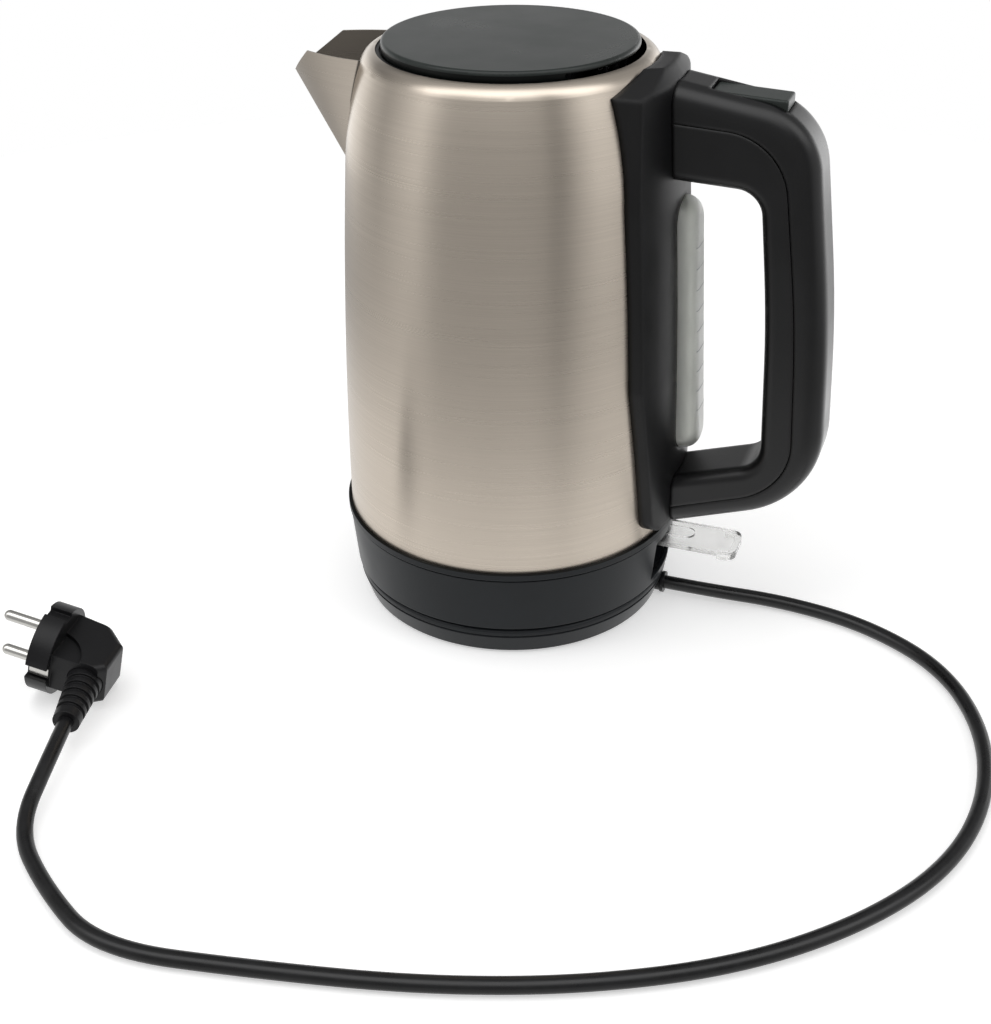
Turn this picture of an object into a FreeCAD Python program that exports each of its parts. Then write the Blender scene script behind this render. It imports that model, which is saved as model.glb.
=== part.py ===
import FreeCAD, Part
import math
import os
from types import SimpleNamespace

import Sketcher

# An electric jug kettle that stands on its power base, with its cord and plug.
# +X points from the kettle's axis to the handle, +Z is up, and z = 0 is the table.

# Driving dimensions: name, value in millimetres or degrees, meaning, and the size that it is measured from.
DIMENSIONS = [
    ("fit", 0.1, "gap between pieces that are fixed to each other"),
    ("running_gap", 0.3, "gap between pieces that move past each other"),
    ("bearing_gap", 0.05, "radial gap between a pin and its bore"),
    ("clear_margin", 2.2, "how far a cut reaches past what it cuts"),

    ("body_wall", 0.8, "steel of the jug"),
    ("body_foot_radius", 75.4, "jug where it leaves the skirt"),
    ("body_foot_height", 25.7, "lower end of the jug", "skirt_foot_height"),
    ("body_belly_radius", -1.7, "jug at half height", "body_foot_radius"),
    ("body_belly_height", 80.5, "half height of the jug", "body_foot_height"),
    ("body_neck_radius", -6.1, "jug where its shoulder starts", "body_foot_radius"),
    ("body_neck_height", -50.4, "start of the shoulder", "opening_height"),
    ("body_crown_radius", -3.6, "jug half way up the shoulder", "body_neck_radius"),
    ("body_crown_height", -23.4, "half way up the shoulder", "opening_height"),
    ("body_shoulder_radius", -8.7, "jug where it turns in to the opening", "body_neck_radius"),
    ("body_shoulder_height", -4.8, "turn to the opening", "opening_height"),
    ("body_turn_radius", -1.9, "middle of the turn", "body_shoulder_radius"),
    ("body_turn_height", -1.9, "middle of the turn", "opening_height"),
    ("opening_radius", -6.2, "opening under the lid", "body_shoulder_radius"),
    ("opening_height", 250.4, "edge of the opening"),

    ("skirt_wall", 2.2, "moulding of the skirt"),
    ("skirt_foot_radius", -1.4, "lower edge of the skirt", "body_foot_radius"),
    ("skirt_foot_height", 1.8, "lower edge of the skirt", "base_top_height"),
    ("skirt_groove_radius", 1.0, "skirt under its lip", "body_foot_radius"),
    ("skirt_groove_height", 0.7, "shadow groove under the lip", "body_foot_height"),
    ("skirt_groove_width", 0.9, "shadow groove"),
    ("skirt_groove_depth", 0.6, "shadow groove"),
    ("skirt_lip_radius", 1.6, "lip round the jug", "body_foot_radius"),
    ("skirt_lip_height", 4.5, "top of the lip", "body_foot_height"),
    ("skirt_shelf_radius", -11.4, "inner edge of the shelf that carries the jug", "body_foot_radius"),
    ("skirt_shelf_thickness", 3.0, "shelf"),
    ("skirt_boss_circle", -7.0, "bosses for the bottom screws", "skirt_foot_radius"),
    ("skirt_boss_radius", 4.0, "bosses"),
    ("notch_half_width", 5.6, "opening for the switch lever", "lever_half_width"),
    ("notch_low", 2.8, "lower edge of that opening", "skirt_foot_height"),
    ("notch_high", -3.3, "upper edge of that opening", "body_foot_height"),

    ("cover_thickness", 2.2, "bottom cover"),
    ("plate_thickness", 2.0, "element plate"),
    ("seal_thickness", 1.0, "seal under the element plate"),
    ("element_radius", -30.4, "heating ring", "body_foot_radius"),
    ("element_tube_radius", 4.0, "heating ring's tube"),
    ("element_gap_angle", 30.0, "half of the gap in the heating ring"),
    ("control_radius", 28.0, "control unit"),
    ("control_arm_length", -18.4, "control unit's arm towards the lever", "body_foot_radius"),
    ("control_arm_half_width", 10.0, "control unit's arm"),
    ("lamp_radius", 2.0, "indicator lamp"),
    ("lamp_length", 4.0, "indicator lamp"),

    ("hub_radius", 17.0, "centre of the base that enters the kettle"),
    ("hub_height", 8.5, "top of that centre", "base_top_height"),
    ("hub_flange_radius", 22.0, "its foot inside the base"),
    ("contact_pin_radius", 1.9, "coupler's middle pin"),
    ("contact_sleeve_radius", 2.9, "base's middle contact"),
    ("contact_wall", 0.6, "contact sheet"),
    ("contact_ring_radius", 10.0, "middle of the ring contacts"),
    ("contact_groove_half_width", 1.4, "groove for the ring contacts"),
    ("contact_floor", -8.5, "bottom of the groove", "hub_height"),
    ("coupler_wall", 3.0, "coupler's cup"),
    ("coupler_roof_height", 1.5, "under the coupler's roof", "hub_height"),
    ("coupler_flange_width", 3.5, "coupler's flange over the bottom cover"),
    ("coupler_flange_thickness", 2.0, "coupler's flange"),

    ("base_wall", 2.0, "mouldings of the power base"),
    ("base_foot_radius", -2.8, "lower edge of the base", "base_edge_radius"),
    ("base_foot_height", 1.6, "lower edge of the base"),
    ("base_edge_radius", -1.0, "upper edge of the base", "skirt_foot_radius"),
    ("base_groove_height", -3.6, "line round the base", "base_top_height"),
    ("base_groove_width", 0.9, "line round the base"),
    ("base_groove_depth", 0.6, "line round the base"),
    ("base_top_height", 14.0, "top of the base"),
    ("base_edge_rounding", 1.2, "upper edge"),
    ("seat_outer_radius", -7.0, "raised ring that the kettle stands on", "base_edge_radius"),
    ("seat_inner_radius", -8.0, "raised ring", "seat_outer_radius"),
    ("foot_radius", 6.0, "rubber feet"),
    ("foot_circle", -12.2, "rubber feet", "base_foot_radius"),
    ("foot_recess", 0.8, "seat of a rubber foot"),
    ("base_screw_circle", -28.2, "screws of the base", "base_foot_radius"),
    ("screw_radius", 1.5, "all screws"),
    ("screw_head_radius", 3.0, "all screws"),
    ("screw_head_height", 1.4, "all screws"),
    ("screw_length", 8.0, "all screws, under the head"),

    ("strip_inner_height", -0.8, "strip where it covers the shoulder", "opening_height"),
    ("strip_crest_radius", 7.1, "strip's outer crest", "body_shoulder_radius"),
    ("strip_crest_height", -0.2, "strip's crest", "opening_height"),
    ("strip_brow_radius", 11.5, "strip where the upper arm meets it", "body_shoulder_radius"),
    ("strip_brow_height", -6.4, "strip where the upper arm meets it", "opening_height"),
    ("strip_neck_radius", 5.3, "strip's face at the neck", "body_neck_radius"),
    ("strip_belly_radius", 5.0, "strip's face at half height", "body_belly_radius"),
    ("strip_foot_radius", 5.2, "strip's face at its foot", "body_foot_radius"),
    ("strip_foot_height", 9.5, "lower edge of the strip", "body_foot_height"),
    ("strip_foot_half_width", 28.9, "strip at its foot"),
    ("strip_belly_half_width", 36.4, "strip at half height"),
    ("strip_neck_half_width", 35.6, "strip at the neck"),
    ("strip_top_half_width", 33.2, "strip at its upper corners"),
    ("strip_top_height", -7.6, "upper corners of the strip", "opening_height"),
    ("strip_crest_half_width", 9.0, "flat middle of the crest"),
    ("strip_corner_rounding", 7.0, "lower corners of the strip"),

    ("window_radius", 10.4, "water window"),
    ("window_wall", 2.0, "water window"),
    ("window_edge_rounding", 7.0, "water window's outer edge"),
    ("window_half_length", 46.6, "straight half of the window"),
    ("window_middle_distance", 0.8, "window's axis from the kettle's axis", "body_belly_radius"),
    ("window_middle_height", 17.4, "middle of the window", "body_belly_height"),
    ("window_lean", 3.4, "window's lean to the axis"),
    ("gasket_thickness", 1.2, "window gasket"),
    ("slot_radius", -4.9, "slot in the steel behind the window", "window_radius"),

    ("handle_half_width", 15.0, "handle"),
    ("handle_wall", 3.2, "handle mouldings"),
    ("seam_gap", 0.35, "line between the two handle mouldings"),
    ("handle_root_distance", 0.7, "start of the handle's outline", "body_neck_radius"),
    ("handle_root_height", 1.2, "top of the upper arm at its root", "strip_brow_height"),
    ("handle_bend_distance", 57.0, "upper outer corner", "handle_root_distance"),
    ("handle_bend_height", -9.2, "upper outer corner", "handle_root_height"),
    ("handle_bend_rounding", 30.0, "upper outer corner"),
    ("handle_back_distance", 68.8, "back of the grip", "handle_root_distance"),
    ("handle_back_height", -93.2, "back of the grip", "handle_root_height"),
    ("handle_heel_distance", 73.1, "lower outer corner", "handle_root_distance"),
    ("handle_heel_height", 19.3, "lower outer corner", "strip_foot_height"),
    ("handle_heel_rounding", 43.0, "lower outer corner"),
    ("handle_sole_height", -6.4, "underside of the lower arm at its root", "strip_foot_height"),
    ("grip_sweep", 600.0, "gentle bend of the grip"),
    ("seam_root_height", -15.0, "line on the upper arm at its root", "handle_root_height"),
    ("seam_bend_distance", -11.5, "line at the upper bend", "handle_bend_distance"),
    ("seam_bend_height", -2.2, "line at the upper bend", "seam_root_height"),
    ("seam_bend_rounding", 27.0, "line at the upper bend"),
    ("seam_back_distance", -12.3, "line on the grip", "handle_back_distance"),
    ("seam_heel_distance", -12.1, "line at the lower bend", "handle_heel_distance"),
    ("seam_heel_height", 5.7, "line at the lower bend", "handle_heel_height"),
    ("seam_heel_rounding", 30.0, "line at the lower bend"),
    ("seam_sole_height", 10.2, "line on the lower arm at its root", "handle_sole_height"),
    ("gap_top_height", -38.7, "finger gap at the strip", "handle_root_height"),
    ("gap_bend_distance", -19.5, "finger gap's upper corner", "handle_bend_distance"),
    ("gap_bend_height", -1.5, "finger gap's upper corner", "gap_top_height"),
    ("gap_bend_rounding", 11.0, "finger gap's upper corner"),
    ("gap_back_distance", -25.3, "finger gap at the grip", "handle_back_distance"),
    ("gap_heel_distance", -26.6, "finger gap's lower corner", "handle_heel_distance"),
    ("gap_heel_height", 14.4, "finger gap's lower corner", "handle_heel_height"),
    ("gap_heel_rounding", 12.0, "finger gap's lower corner"),
    ("gap_sole_height", 25.1, "finger gap at the strip, below", "handle_sole_height"),
    ("handle_edge_rounding", 8.5, "outer edges of the handle"),
    ("grip_edge_rounding", 5.0, "inner edges of the handle"),
    ("handle_screw_first", 22.0, "first handle screw from the axis", "handle_root_distance"),
    ("handle_screw_step", 18.0, "second handle screw from the first"),
    ("handle_screw_seat", 1.7, "handle screw's seat over the sole"),
    ("handle_boss_sink", 1.0, "how far a screw boss runs into the wall over it"),
    ("handle_boss_gap", 1.0, "screw bosses above the handle's outer moulding"),

    ("button_half_width", 7.2, "lid button"),
    ("button_inner_distance", 14.2, "lid button's end towards the lid", "handle_root_distance"),
    ("button_outer_distance", -12.6, "lid button's outer end", "handle_bend_distance"),
    ("button_inner_height", -3.5, "lid button's top, inner end", "handle_root_height"),
    ("button_outer_height", -1.3, "lid button's top, outer end", "button_inner_height"),
    ("button_plate", 3.4, "lid button's plate"),
    ("button_leg_length", 8.0, "lid button's outer leg, along the arm"),
    ("button_leg_height", 11.0, "lid button's outer leg"),
    ("button_rounding", 1.0, "lid button's edges"),

    ("latch_half_width", 4.0, "lid latch"),
    ("latch_low", -10.7, "lid latch", "button_inner_height"),
    ("latch_thickness", 3.5, "lid latch"),
    ("latch_outer_distance", 9.8, "lid latch's outer end", "button_inner_distance"),

    ("lid_radius", -2.2, "lid", "opening_radius"),
    ("lid_top_height", 3.8, "lid", "opening_height"),
    ("lid_low_height", -4.8, "lower edge of the lid's rim", "lid_top_height"),
    ("lid_wall", 2.2, "lid"),
    ("lid_edge_rounding", 1.4, "lid's upper edge"),
    ("lid_plug_radius", -5.2, "lid's inner cup", "lid_radius"),
    ("lid_plug_low", -14.2, "lid's inner cup", "lid_top_height"),
    ("lid_plug_wall", 2.0, "lid's inner cup"),
    ("lid_seal_width", 2.6, "lid's seal"),
    ("lid_seal_low", 5.0, "lid's seal", "lid_plug_low"),
    ("lid_seal_height", 2.0, "lid's seal"),
    ("lid_back", -6.5, "back of the inner cup", "hinge_distance"),
    ("lid_screw_distance", -21.0, "lid screws from the middle", "lid_plug_radius"),
    ("lid_boss_radius", 3.6, "bosses for the lid screws"),
    ("collar_radius", -4.2, "collar in the opening", "opening_radius"),
    ("collar_low", -11.4, "collar in the opening", "opening_height"),
    ("collar_flange_radius", 1.9, "collar's flange under the shoulder", "opening_radius"),
    ("collar_flange_height", -2.2, "collar's flange under the shoulder", "opening_height"),
    ("collar_flange_thickness", 1.8, "collar's flange"),
    ("collar_wall", 2.6, "collar"),
    ("collar_gap_half_width", 32.5, "gap in the collar at the hinge"),

    ("hinge_distance", -12.4, "lid hinge's axis from the kettle's axis", "opening_radius"),
    ("hinge_height", -5.2, "lid hinge's axis", "lid_top_height"),
    ("hinge_pin_radius", 1.2, "lid hinge"),
    ("hinge_knuckle_radius", 2.4, "lid hinge"),
    ("hinge_block_half_width", 11.6, "lid's knuckle"),
    ("hinge_ear_thickness", 3.0, "bracket's ears"),
    ("hinge_tail_half_width", 3.6, "lid's tail that the latch holds"),
    ("bracket_low", -5.0, "hinge bracket", "latch_low"),
    ("bracket_thickness", 2.0, "hinge bracket"),
    ("bracket_reach", 1.8, "hinge bracket to the steel", "body_shoulder_radius"),

    ("spout_sheet", 0.9, "spout"),
    ("spout_root_distance", -19.3, "start of the spout's outline, inside the jug", "body_neck_radius"),
    ("spout_low_height", -66.4, "foot of the spout", "opening_height"),
    ("spout_low_nose", -0.8, "foot of the spout", "body_neck_radius"),
    ("spout_low_root_half_width", 6.0, "foot of the spout"),
    ("spout_low_side_distance", -6.5, "foot of the spout", "spout_low_nose"),
    ("spout_low_side_half_width", 3.8, "foot of the spout"),
    ("spout_high_height", 1.6, "spout before its mouth is cut", "opening_height"),
    ("spout_high_nose", 39.2, "spout before its mouth is cut", "body_neck_radius"),
    ("spout_high_root_half_width", 27.0, "spout before its mouth is cut"),
    ("spout_high_side_distance", -24.5, "spout before its mouth is cut", "spout_high_nose"),
    ("spout_high_side_half_width", 19.2, "spout before its mouth is cut"),
    ("spout_nose_length", 1.4, "rounding of the spout's keel"),
    ("spout_nose_half_width", 2.2, "rounding of the spout's keel"),
    ("spout_mouth_height", -4.6, "top edge of the spout", "opening_height"),
    ("spout_mouth_corner", -26.0, "corner of the top edge", "spout_high_nose"),
    ("spout_lip_distance", -11.0, "pouring lip", "spout_high_nose"),
    ("spout_lip_height", -13.3, "pouring lip", "spout_mouth_height"),
    ("port_top", -10.4, "opening from the jug to the spout", "opening_height"),
    ("port_low", -34.0, "opening from the jug to the spout", "port_top"),
    ("port_top_half_width", 17.0, "opening from the jug to the spout"),
    ("port_low_half_width", 5.0, "opening from the jug to the spout"),
    ("port_rounding", 3.0, "opening from the jug to the spout"),
    ("filter_thickness", 1.4, "spout filter"),
    ("filter_half_width", 4.0, "spout filter", "port_top_half_width"),
    ("filter_low", -4.0, "spout filter", "port_low"),
    ("filter_high", 3.0, "spout filter", "port_top"),
    ("filter_slot_half_width", 0.9, "spout filter's slots"),
    ("filter_slot_margin", 4.0, "spout filter's frame"),
    ("filter_slot_pitch", 3.2, "spout filter's slots"),

    ("steam_tube_radius", 4.0, "steam tube"),
    ("steam_tube_wall", 0.8, "steam tube"),
    ("steam_tube_across", -21.4, "steam tube", "body_foot_radius"),
    ("steam_tube_side", 20.0, "steam tube"),
    ("steam_tube_top", -18.4, "steam tube", "opening_height"),

    ("lever_half_width", 10.2, "switch lever"),
    ("lever_tip_distance", 42.5, "switch lever", "lever_axis_distance"),
    ("lever_top", 2.9, "switch lever", "lever_axis_height"),
    ("lever_thickness", 2.4, "switch lever"),
    ("lever_lip_length", 3.0, "thick end of the switch lever"),
    ("lever_lip_drop", 1.6, "thick end of the switch lever"),
    ("lever_corner_rounding", 5.0, "switch lever's outer corners"),
    ("lever_tongue_half_width", 4.0, "raised tongue of the lever"),
    ("lever_tongue_end", -20.5, "raised tongue of the lever", "lever_tip_distance"),
    ("lever_tongue_height", 1.0, "raised tongue of the lever"),
    ("lever_axis_distance", -8.0, "switch lever's axle", "skirt_foot_radius"),
    ("lever_axis_height", -7.9, "switch lever's axle", "body_foot_height"),
    ("lever_axle_radius", 1.5, "switch lever's axle"),
    ("lever_boss_radius", 3.4, "switch lever's boss"),
    ("lever_ear_thickness", 2.0, "ears that carry the axle"),
    ("lever_ear_half_length", 3.6, "ears that carry the axle"),

    ("cord_diameter", 6.4, "cord"),
    ("cord_height", 3.4, "middle of the cord on the table"),
    ("cord_exit_side", 3.5, "cord's exit from the base"),
    ("cord_exit_height", 5.6, "cord's exit from the base"),
    ("gland_neck_radius", 4.4, "gland in the base's wall"),
    ("gland_collar_radius", 5.0, "gland"),
    ("gland_collar_length", 1.6, "gland outside the wall"),
    ("gland_inner_length", 2.4, "gland inside the base"),

    ("cord_lead", 20.0, "straight cord at each end"),

    ("plug_across", -158.5, "middle of the plug's face on the table"),
    ("plug_along", -154.0, "middle of the plug's face on the table"),
    ("plug_height", 21.1, "middle of the plug's face"),
    ("plug_yaw", 188.2, "turn of the plug on the table"),
    ("plug_pitch", -13.9, "lift of the plug's face, because its front is wider than its back"),
    ("plug_roll", 90.0, "plug lying on its side"),
    ("plug_radius", 19.3, "plug's round front"),
    ("plug_front_length", 9.5, "plug's round front"),
    ("plug_length", 33.2, "plug behind its face"),
    ("plug_rear_half_width", 10.5, "plug's back"),
    ("plug_shoulder", 13.5, "plug's back where it leaves the round front"),
    ("plug_shoulder_taper", 2.2, "fall of that side towards the end face"),
    ("plug_back_high", 4.2, "plug's end face, side away from the cord"),
    ("plug_back_low", 12.3, "plug's end face, side of the cord"),
    ("plug_back_slope", 7.4, "length of the slope to the end face"),
    ("plug_edge_rounding", 3.0, "plug's back"),
    ("plug_grip_radius", 17.0, "finger hollow in each flat side of the plug"),
    ("plug_grip_depth", 1.6, "finger hollow"),
    ("plug_grip_distance", 5.0, "finger hollow's middle behind the plug's face"),
    ("plug_groove_half_width", 2.8, "guide grooves"),
    ("plug_groove_depth", 2.4, "guide grooves"),
    ("plug_recess_half_width", 3.2, "earth recess"),
    ("plug_recess_depth", 3.6, "earth recess"),
    ("clip_thickness", 1.0, "earth clips"),
    ("clip_half_width", 2.4, "earth clips"),
    ("pin_radius", 2.4, "plug pins"),
    ("pin_length", 19.0, "plug pins"),
    ("pin_spacing", 19.0, "plug pins, middle to middle"),
    ("earth_hole_radius", 2.6, "earth hole in the plug's face"),
    ("earth_hole_offset", 9.5, "earth hole from the plug's middle"),
    ("outlet_distance", 24.6, "cord outlet behind the plug's face"),
    ("plug_cord_side", 14.9, "plug's side that the cord leaves"),
    ("outlet_start", 13.4, "start of the strain relief from the plug's middle"),
    ("outlet_lean", 8.0, "strain relief's lean to the back"),
    ("outlet_length", 26.5, "strain relief"),
    ("outlet_root_radius", 7.6, "strain relief at the plug"),
    ("outlet_end_radius", 5.6, "strain relief at the cord"),
    ("outlet_rib_depth", 1.0, "grooves of the strain relief"),
]
FOOT_COUNT = 4
BASE_SCREW_COUNT = 3
BOTTOM_SCREW_COUNT = 3
HANDLE_SCREW_COUNT = 2
FILTER_SLOT_COUNT = 11
OUTLET_RIB_COUNT = 5
OUTLET_PLAIN_STEPS = 3

# Two places closer than this, in millimetres, are the same place.
NEAR = 1e-4

# The cord's way over the table between its straight ends, as it lies in the photograph.
ROUTE = [
    (131.0, 9.0),
    (170.0, 2.5),
    (205.0, -18.5),
    (225.5, -55.0),
    (231.0, -98.0),
    (221.5, -140.0),
    (196.5, -178.0),
    (159.5, -212.0),
    (112.0, -238.5),
    (60.0, -257.5),
    (3.0, -270.6),
    (-54.0, -281.0),
    (-88.0, -262.5),
    (-115.5, -240.0),
]


class Size:
    """A number together with the spreadsheet expression that gives it."""

    def __init__(self, value, text):
        self.value = value
        self.text = text

    def __add__(self, other):
        return Size(self.value + number(other), f"({self.text} + {text(other)})")

    def __radd__(self, other):
        return Size(number(other) + self.value, f"({text(other)} + {self.text})")

    def __sub__(self, other):
        return Size(self.value - number(other), f"({self.text} - {text(other)})")

    def __rsub__(self, other):
        return Size(number(other) - self.value, f"({text(other)} - {self.text})")

    def __mul__(self, other):
        return Size(self.value * number(other), f"({self.text} * {text(other)})")

    def __rmul__(self, other):
        return self * other

    def __truediv__(self, other):
        return Size(self.value / number(other), f"({self.text} / {text(other)})")

    def __neg__(self):
        return Size(-self.value, f"(-{self.text})")


def number(amount):
    return amount.value if isinstance(amount, Size) else float(amount)


def same(first, second):
    return abs(first - second) < NEAR


def text(amount):
    return amount.text if isinstance(amount, Size) else repr(float(amount))


def sine(angle):
    return Size(math.sin(math.radians(number(angle))), f"sin({text(angle)} * 1deg)")


def cosine(angle):
    return Size(math.cos(math.radians(number(angle))), f"cos({text(angle)} * 1deg)")


class Corner:
    """A corner of an outline, sharp or rounded."""

    def __init__(self, across, up, rounding=None):
        self.across = across
        self.up = up
        self.rounding = rounding


class Via:
    """A point that an arc between two corners passes through."""

    def __init__(self, across, up):
        self.across = across
        self.up = up


doc = FreeCAD.newDocument("jug_kettle")
sheet = doc.addObject("Spreadsheet::Sheet", "Sizes")
dimensions = {alias: rest for alias, *rest in DIMENSIONS}
for row, (alias, (amount, meaning, *origin)) in enumerate(dimensions.items(), start=1):
    sheet.set(f"A{row}", meaning)
    sheet.set(f"B{row}", str(amount))
    sheet.setAlias(f"B{row}", alias)
for row, (amount, meaning, *origin) in enumerate(dimensions.values(), start=1):
    for name in origin:
        sheet.set(f"B{row}", f"={name} + ({amount})")
doc.recompute()


def full_amount(alias):
    """A size's value, counted from what it is measured from."""
    amount, _, *origin = dimensions[alias]
    return amount + sum(full_amount(name) for name in origin)


s = SimpleNamespace(**{alias: Size(full_amount(alias), f"Sizes.{alias}") for alias in dimensions})
nothing = Size(0.0, "0.0")
pieces = []

ALONG_X = FreeCAD.Rotation(FreeCAD.Vector(0, 1, 0), 90)
ALONG_Y = FreeCAD.Rotation(FreeCAD.Vector(1, 0, 0), -90)


# Drawing helpers

def spot(item):
    return FreeCAD.Vector(number(item.across), number(item.up), 0)


def draw(sketch, outline):
    """Draw a closed outline whose corners and arcs are tied to their own sizes."""
    corners = [item for item in outline if isinstance(item, Corner)]
    count = len(corners)
    arcs_after = {}
    position = -1
    for item in outline:
        if isinstance(item, Corner):
            position += 1
        else:
            arcs_after[position] = item
    starts = [spot(corner) for corner in corners]
    ends = [starts[(index + 1) % count] for index in range(count)]
    bends = {}
    for index, corner in enumerate(corners):
        if corner.rounding is None:
            continue
        here = spot(corner)
        back = (spot(corners[index - 1]) - here).normalize()
        ahead = (spot(corners[(index + 1) % count]) - here).normalize()
        half = back.getAngle(ahead) / 2
        radius = number(corner.rounding)
        ends[index - 1] = here + back * (radius / math.tan(half))
        starts[index] = here + ahead * (radius / math.tan(half))
        inward = (back + ahead).normalize()
        bends[index] = here + inward * (radius / math.sin(half) - radius)
    constraints = []
    bindings = []

    def tie(kind, geometry, end, amount):
        if isinstance(amount, Size):
            bindings.append((len(constraints), amount.text))
        if kind == "Radius":
            constraints.append(Sketcher.Constraint(kind, geometry, number(amount)))
        elif number(amount) == 0 and not isinstance(amount, Size):
            axis = -2 if kind == "DistanceX" else -1
            constraints.append(Sketcher.Constraint("PointOnObject", geometry, end, axis))
        else:
            constraints.append(Sketcher.Constraint(kind, -1, 1, geometry, end, number(amount)))

    def add_arc(first, middle, last):
        turn = (middle - first).cross(last - middle).z
        if turn > 0:
            return sketch.addGeometry(Part.Arc(first, middle, last)), 1, 2
        return sketch.addGeometry(Part.Arc(last, middle, first)), 2, 1

    def add_point(item):
        index = sketch.addGeometry(Part.Point(spot(item)), True)
        tie("DistanceX", index, 1, item.across)
        tie("DistanceY", index, 1, item.up)
        return index

    edges = []
    for index in range(count):
        if index in arcs_after:
            edges.append(add_arc(starts[index], spot(arcs_after[index]), ends[index]))
        else:
            edges.append((sketch.addGeometry(Part.LineSegment(starts[index], ends[index])), 1, 2))
    for index, via in arcs_after.items():
        constraints.append(Sketcher.Constraint("PointOnObject", add_point(via), 1, edges[index][0]))
    for index, corner in enumerate(corners):
        before, _, before_end = edges[index - 1]
        after, after_start, _ = edges[index]
        if index in bends:
            arc, arc_start, arc_end = add_arc(ends[index - 1], bends[index], starts[index])
            point = add_point(corner)
            constraints.append(Sketcher.Constraint("PointOnObject", point, 1, before))
            constraints.append(Sketcher.Constraint("PointOnObject", point, 1, after))
            constraints.append(Sketcher.Constraint("Tangent", before, before_end, arc, arc_start))
            constraints.append(Sketcher.Constraint("Tangent", after, after_start, arc, arc_end))
            tie("Radius", arc, 0, corner.rounding)
        else:
            constraints.append(Sketcher.Constraint("Coincident", before, before_end, after, after_start))
            tie("DistanceX", after, after_start, corner.across)
            tie("DistanceY", after, after_start, corner.up)
    sketch.addConstraint(constraints)
    for index, expression in bindings:
        sketch.setExpression(f"Constraints[{index}]", expression)


def sketch_on(body, role, name, outline, lift=0):
    plane = next(item for item in body.Origin.OriginFeatures if item.Role == role)
    sketch = body.newObject("Sketcher::SketchObject", name)
    sketch.AttachmentSupport = [(plane, "")]
    sketch.MapMode = "FlatFace"
    if number(lift) != 0:
        sketch.setExpression("AttachmentOffset.Base.z", text(lift))
    draw(sketch, outline)
    return sketch


def revolved(name, outline):
    """A body of revolution about Z from an outline of radii and heights."""
    body = doc.addObject("PartDesign::Body", name)
    sketch = sketch_on(body, "XZ_Plane", name + "_profile", outline)
    turned = body.newObject("PartDesign::Revolution", name + "_turned")
    turned.Profile = sketch
    turned.ReferenceAxis = (sketch, ["V_Axis"])
    turned.Angle = 360
    return body


def padded(name, role, outline, length, lift=0, symmetric=False):
    """A body with one straight pad of an outline on an origin plane."""
    body = doc.addObject("PartDesign::Body", name)
    sketch = sketch_on(body, role, name + "_outline", outline, lift)
    pad = body.newObject("PartDesign::Pad", name + "_pad")
    pad.Profile = sketch
    pad.setExpression("Length", text(length))
    if symmetric:
        pad.SideType = "Symmetric"
    return body


def place(item, x=0, y=0, z=0, rotation=None):
    if rotation is not None:
        item.Placement = FreeCAD.Placement(FreeCAD.Vector(), rotation)
    for axis, amount in zip("xyz", (x, y, z)):
        item.setExpression(f"Placement.Base.{axis}", text(amount))
    return item


def rod(name, radius, length, x=0, y=0, z=0, rotation=None):
    item = doc.addObject("Part::Cylinder", name)
    item.setExpression("Radius", text(radius))
    item.setExpression("Height", text(length))
    return place(item, x, y, z, rotation)


def block(name, x_range, y_range, z_range):
    item = doc.addObject("Part::Box", name)
    for side, (low, high) in zip(("Length", "Width", "Height"), (x_range, y_range, z_range)):
        item.setExpression(side, text(high - low))
    return place(item, x_range[0], y_range[0], z_range[0])


def fused(name, items):
    item = doc.addObject("Part::MultiFuse", name)
    item.Shapes = items
    return item


def cut(name, base, tools):
    item = doc.addObject("Part::Cut", name)
    item.Base = base
    item.Tool = tools[0] if len(tools) == 1 else fused(name + "_tools", tools)
    return item


def common(name, base, tool):
    item = doc.addObject("Part::Common", name)
    item.Base = base
    item.Tool = tool
    return item


def piece(name, item):
    """Give a finished sub-part its node name."""
    item.Label = name
    pieces.append(item)
    return item


def around(count, circle, first_angle=0.0):
    """Places on a circle, as pairs of sizes."""
    angles = [first_angle + 360.0 * index / count for index in range(count)]
    return [(circle * cosine(angle), circle * sine(angle)) for angle in angles]


def edges_along(shape, is_wanted):
    """Names of the edges whose sampled points all satisfy a test."""
    names = []
    for index, edge in enumerate(shape.Edges, start=1):
        if all(is_wanted(point) for point in edge.discretize(5)):
            names.append(f"Edge{index}")
    return names


def rounded(body, name, radius, is_wanted):
    """Add a fillet to a body along the edges that a test picks."""
    doc.recompute()
    base = body.Tip
    fillet = body.newObject("PartDesign::Fillet", name)
    fillet.Base = (base, edges_along(base.Shape, is_wanted))
    fillet.setExpression("Radius", text(radius))
    return body


def screw(name, x, y, seat_height):
    """A screw driven upwards, with its head under the seat."""
    shank = rod(name + "_shank", s.screw_radius, s.screw_length, x, y, seat_height)
    head = rod(name + "_head", s.screw_head_radius, s.screw_head_height, x, y,
               seat_height - s.screw_head_height)
    return fused(name, [head, shank])


def screw_hole(name, x, y, low, high):
    return rod(name, s.screw_radius + s.fit, high - low, x, y, low)


# Levels that several pieces share

cover_top = s.skirt_foot_height + s.cover_thickness
shelf_top = s.body_foot_height - s.fit
shelf_low = shelf_top - s.skirt_shelf_thickness
seal_low = shelf_top + s.fit
plate_low = seal_low + s.seal_thickness + s.fit
plate_radius = s.body_foot_radius - s.body_wall - s.fit
base_ceiling = s.base_top_height - s.base_wall
base_plate_top = s.base_foot_height + s.base_wall
seat_top = s.skirt_foot_height - s.running_gap
window_middle = (s.window_middle_distance, 0, s.window_middle_height)
window_turn = FreeCAD.Rotation(FreeCAD.Vector(0, 1, 0), -s.window_lean.value)


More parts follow.
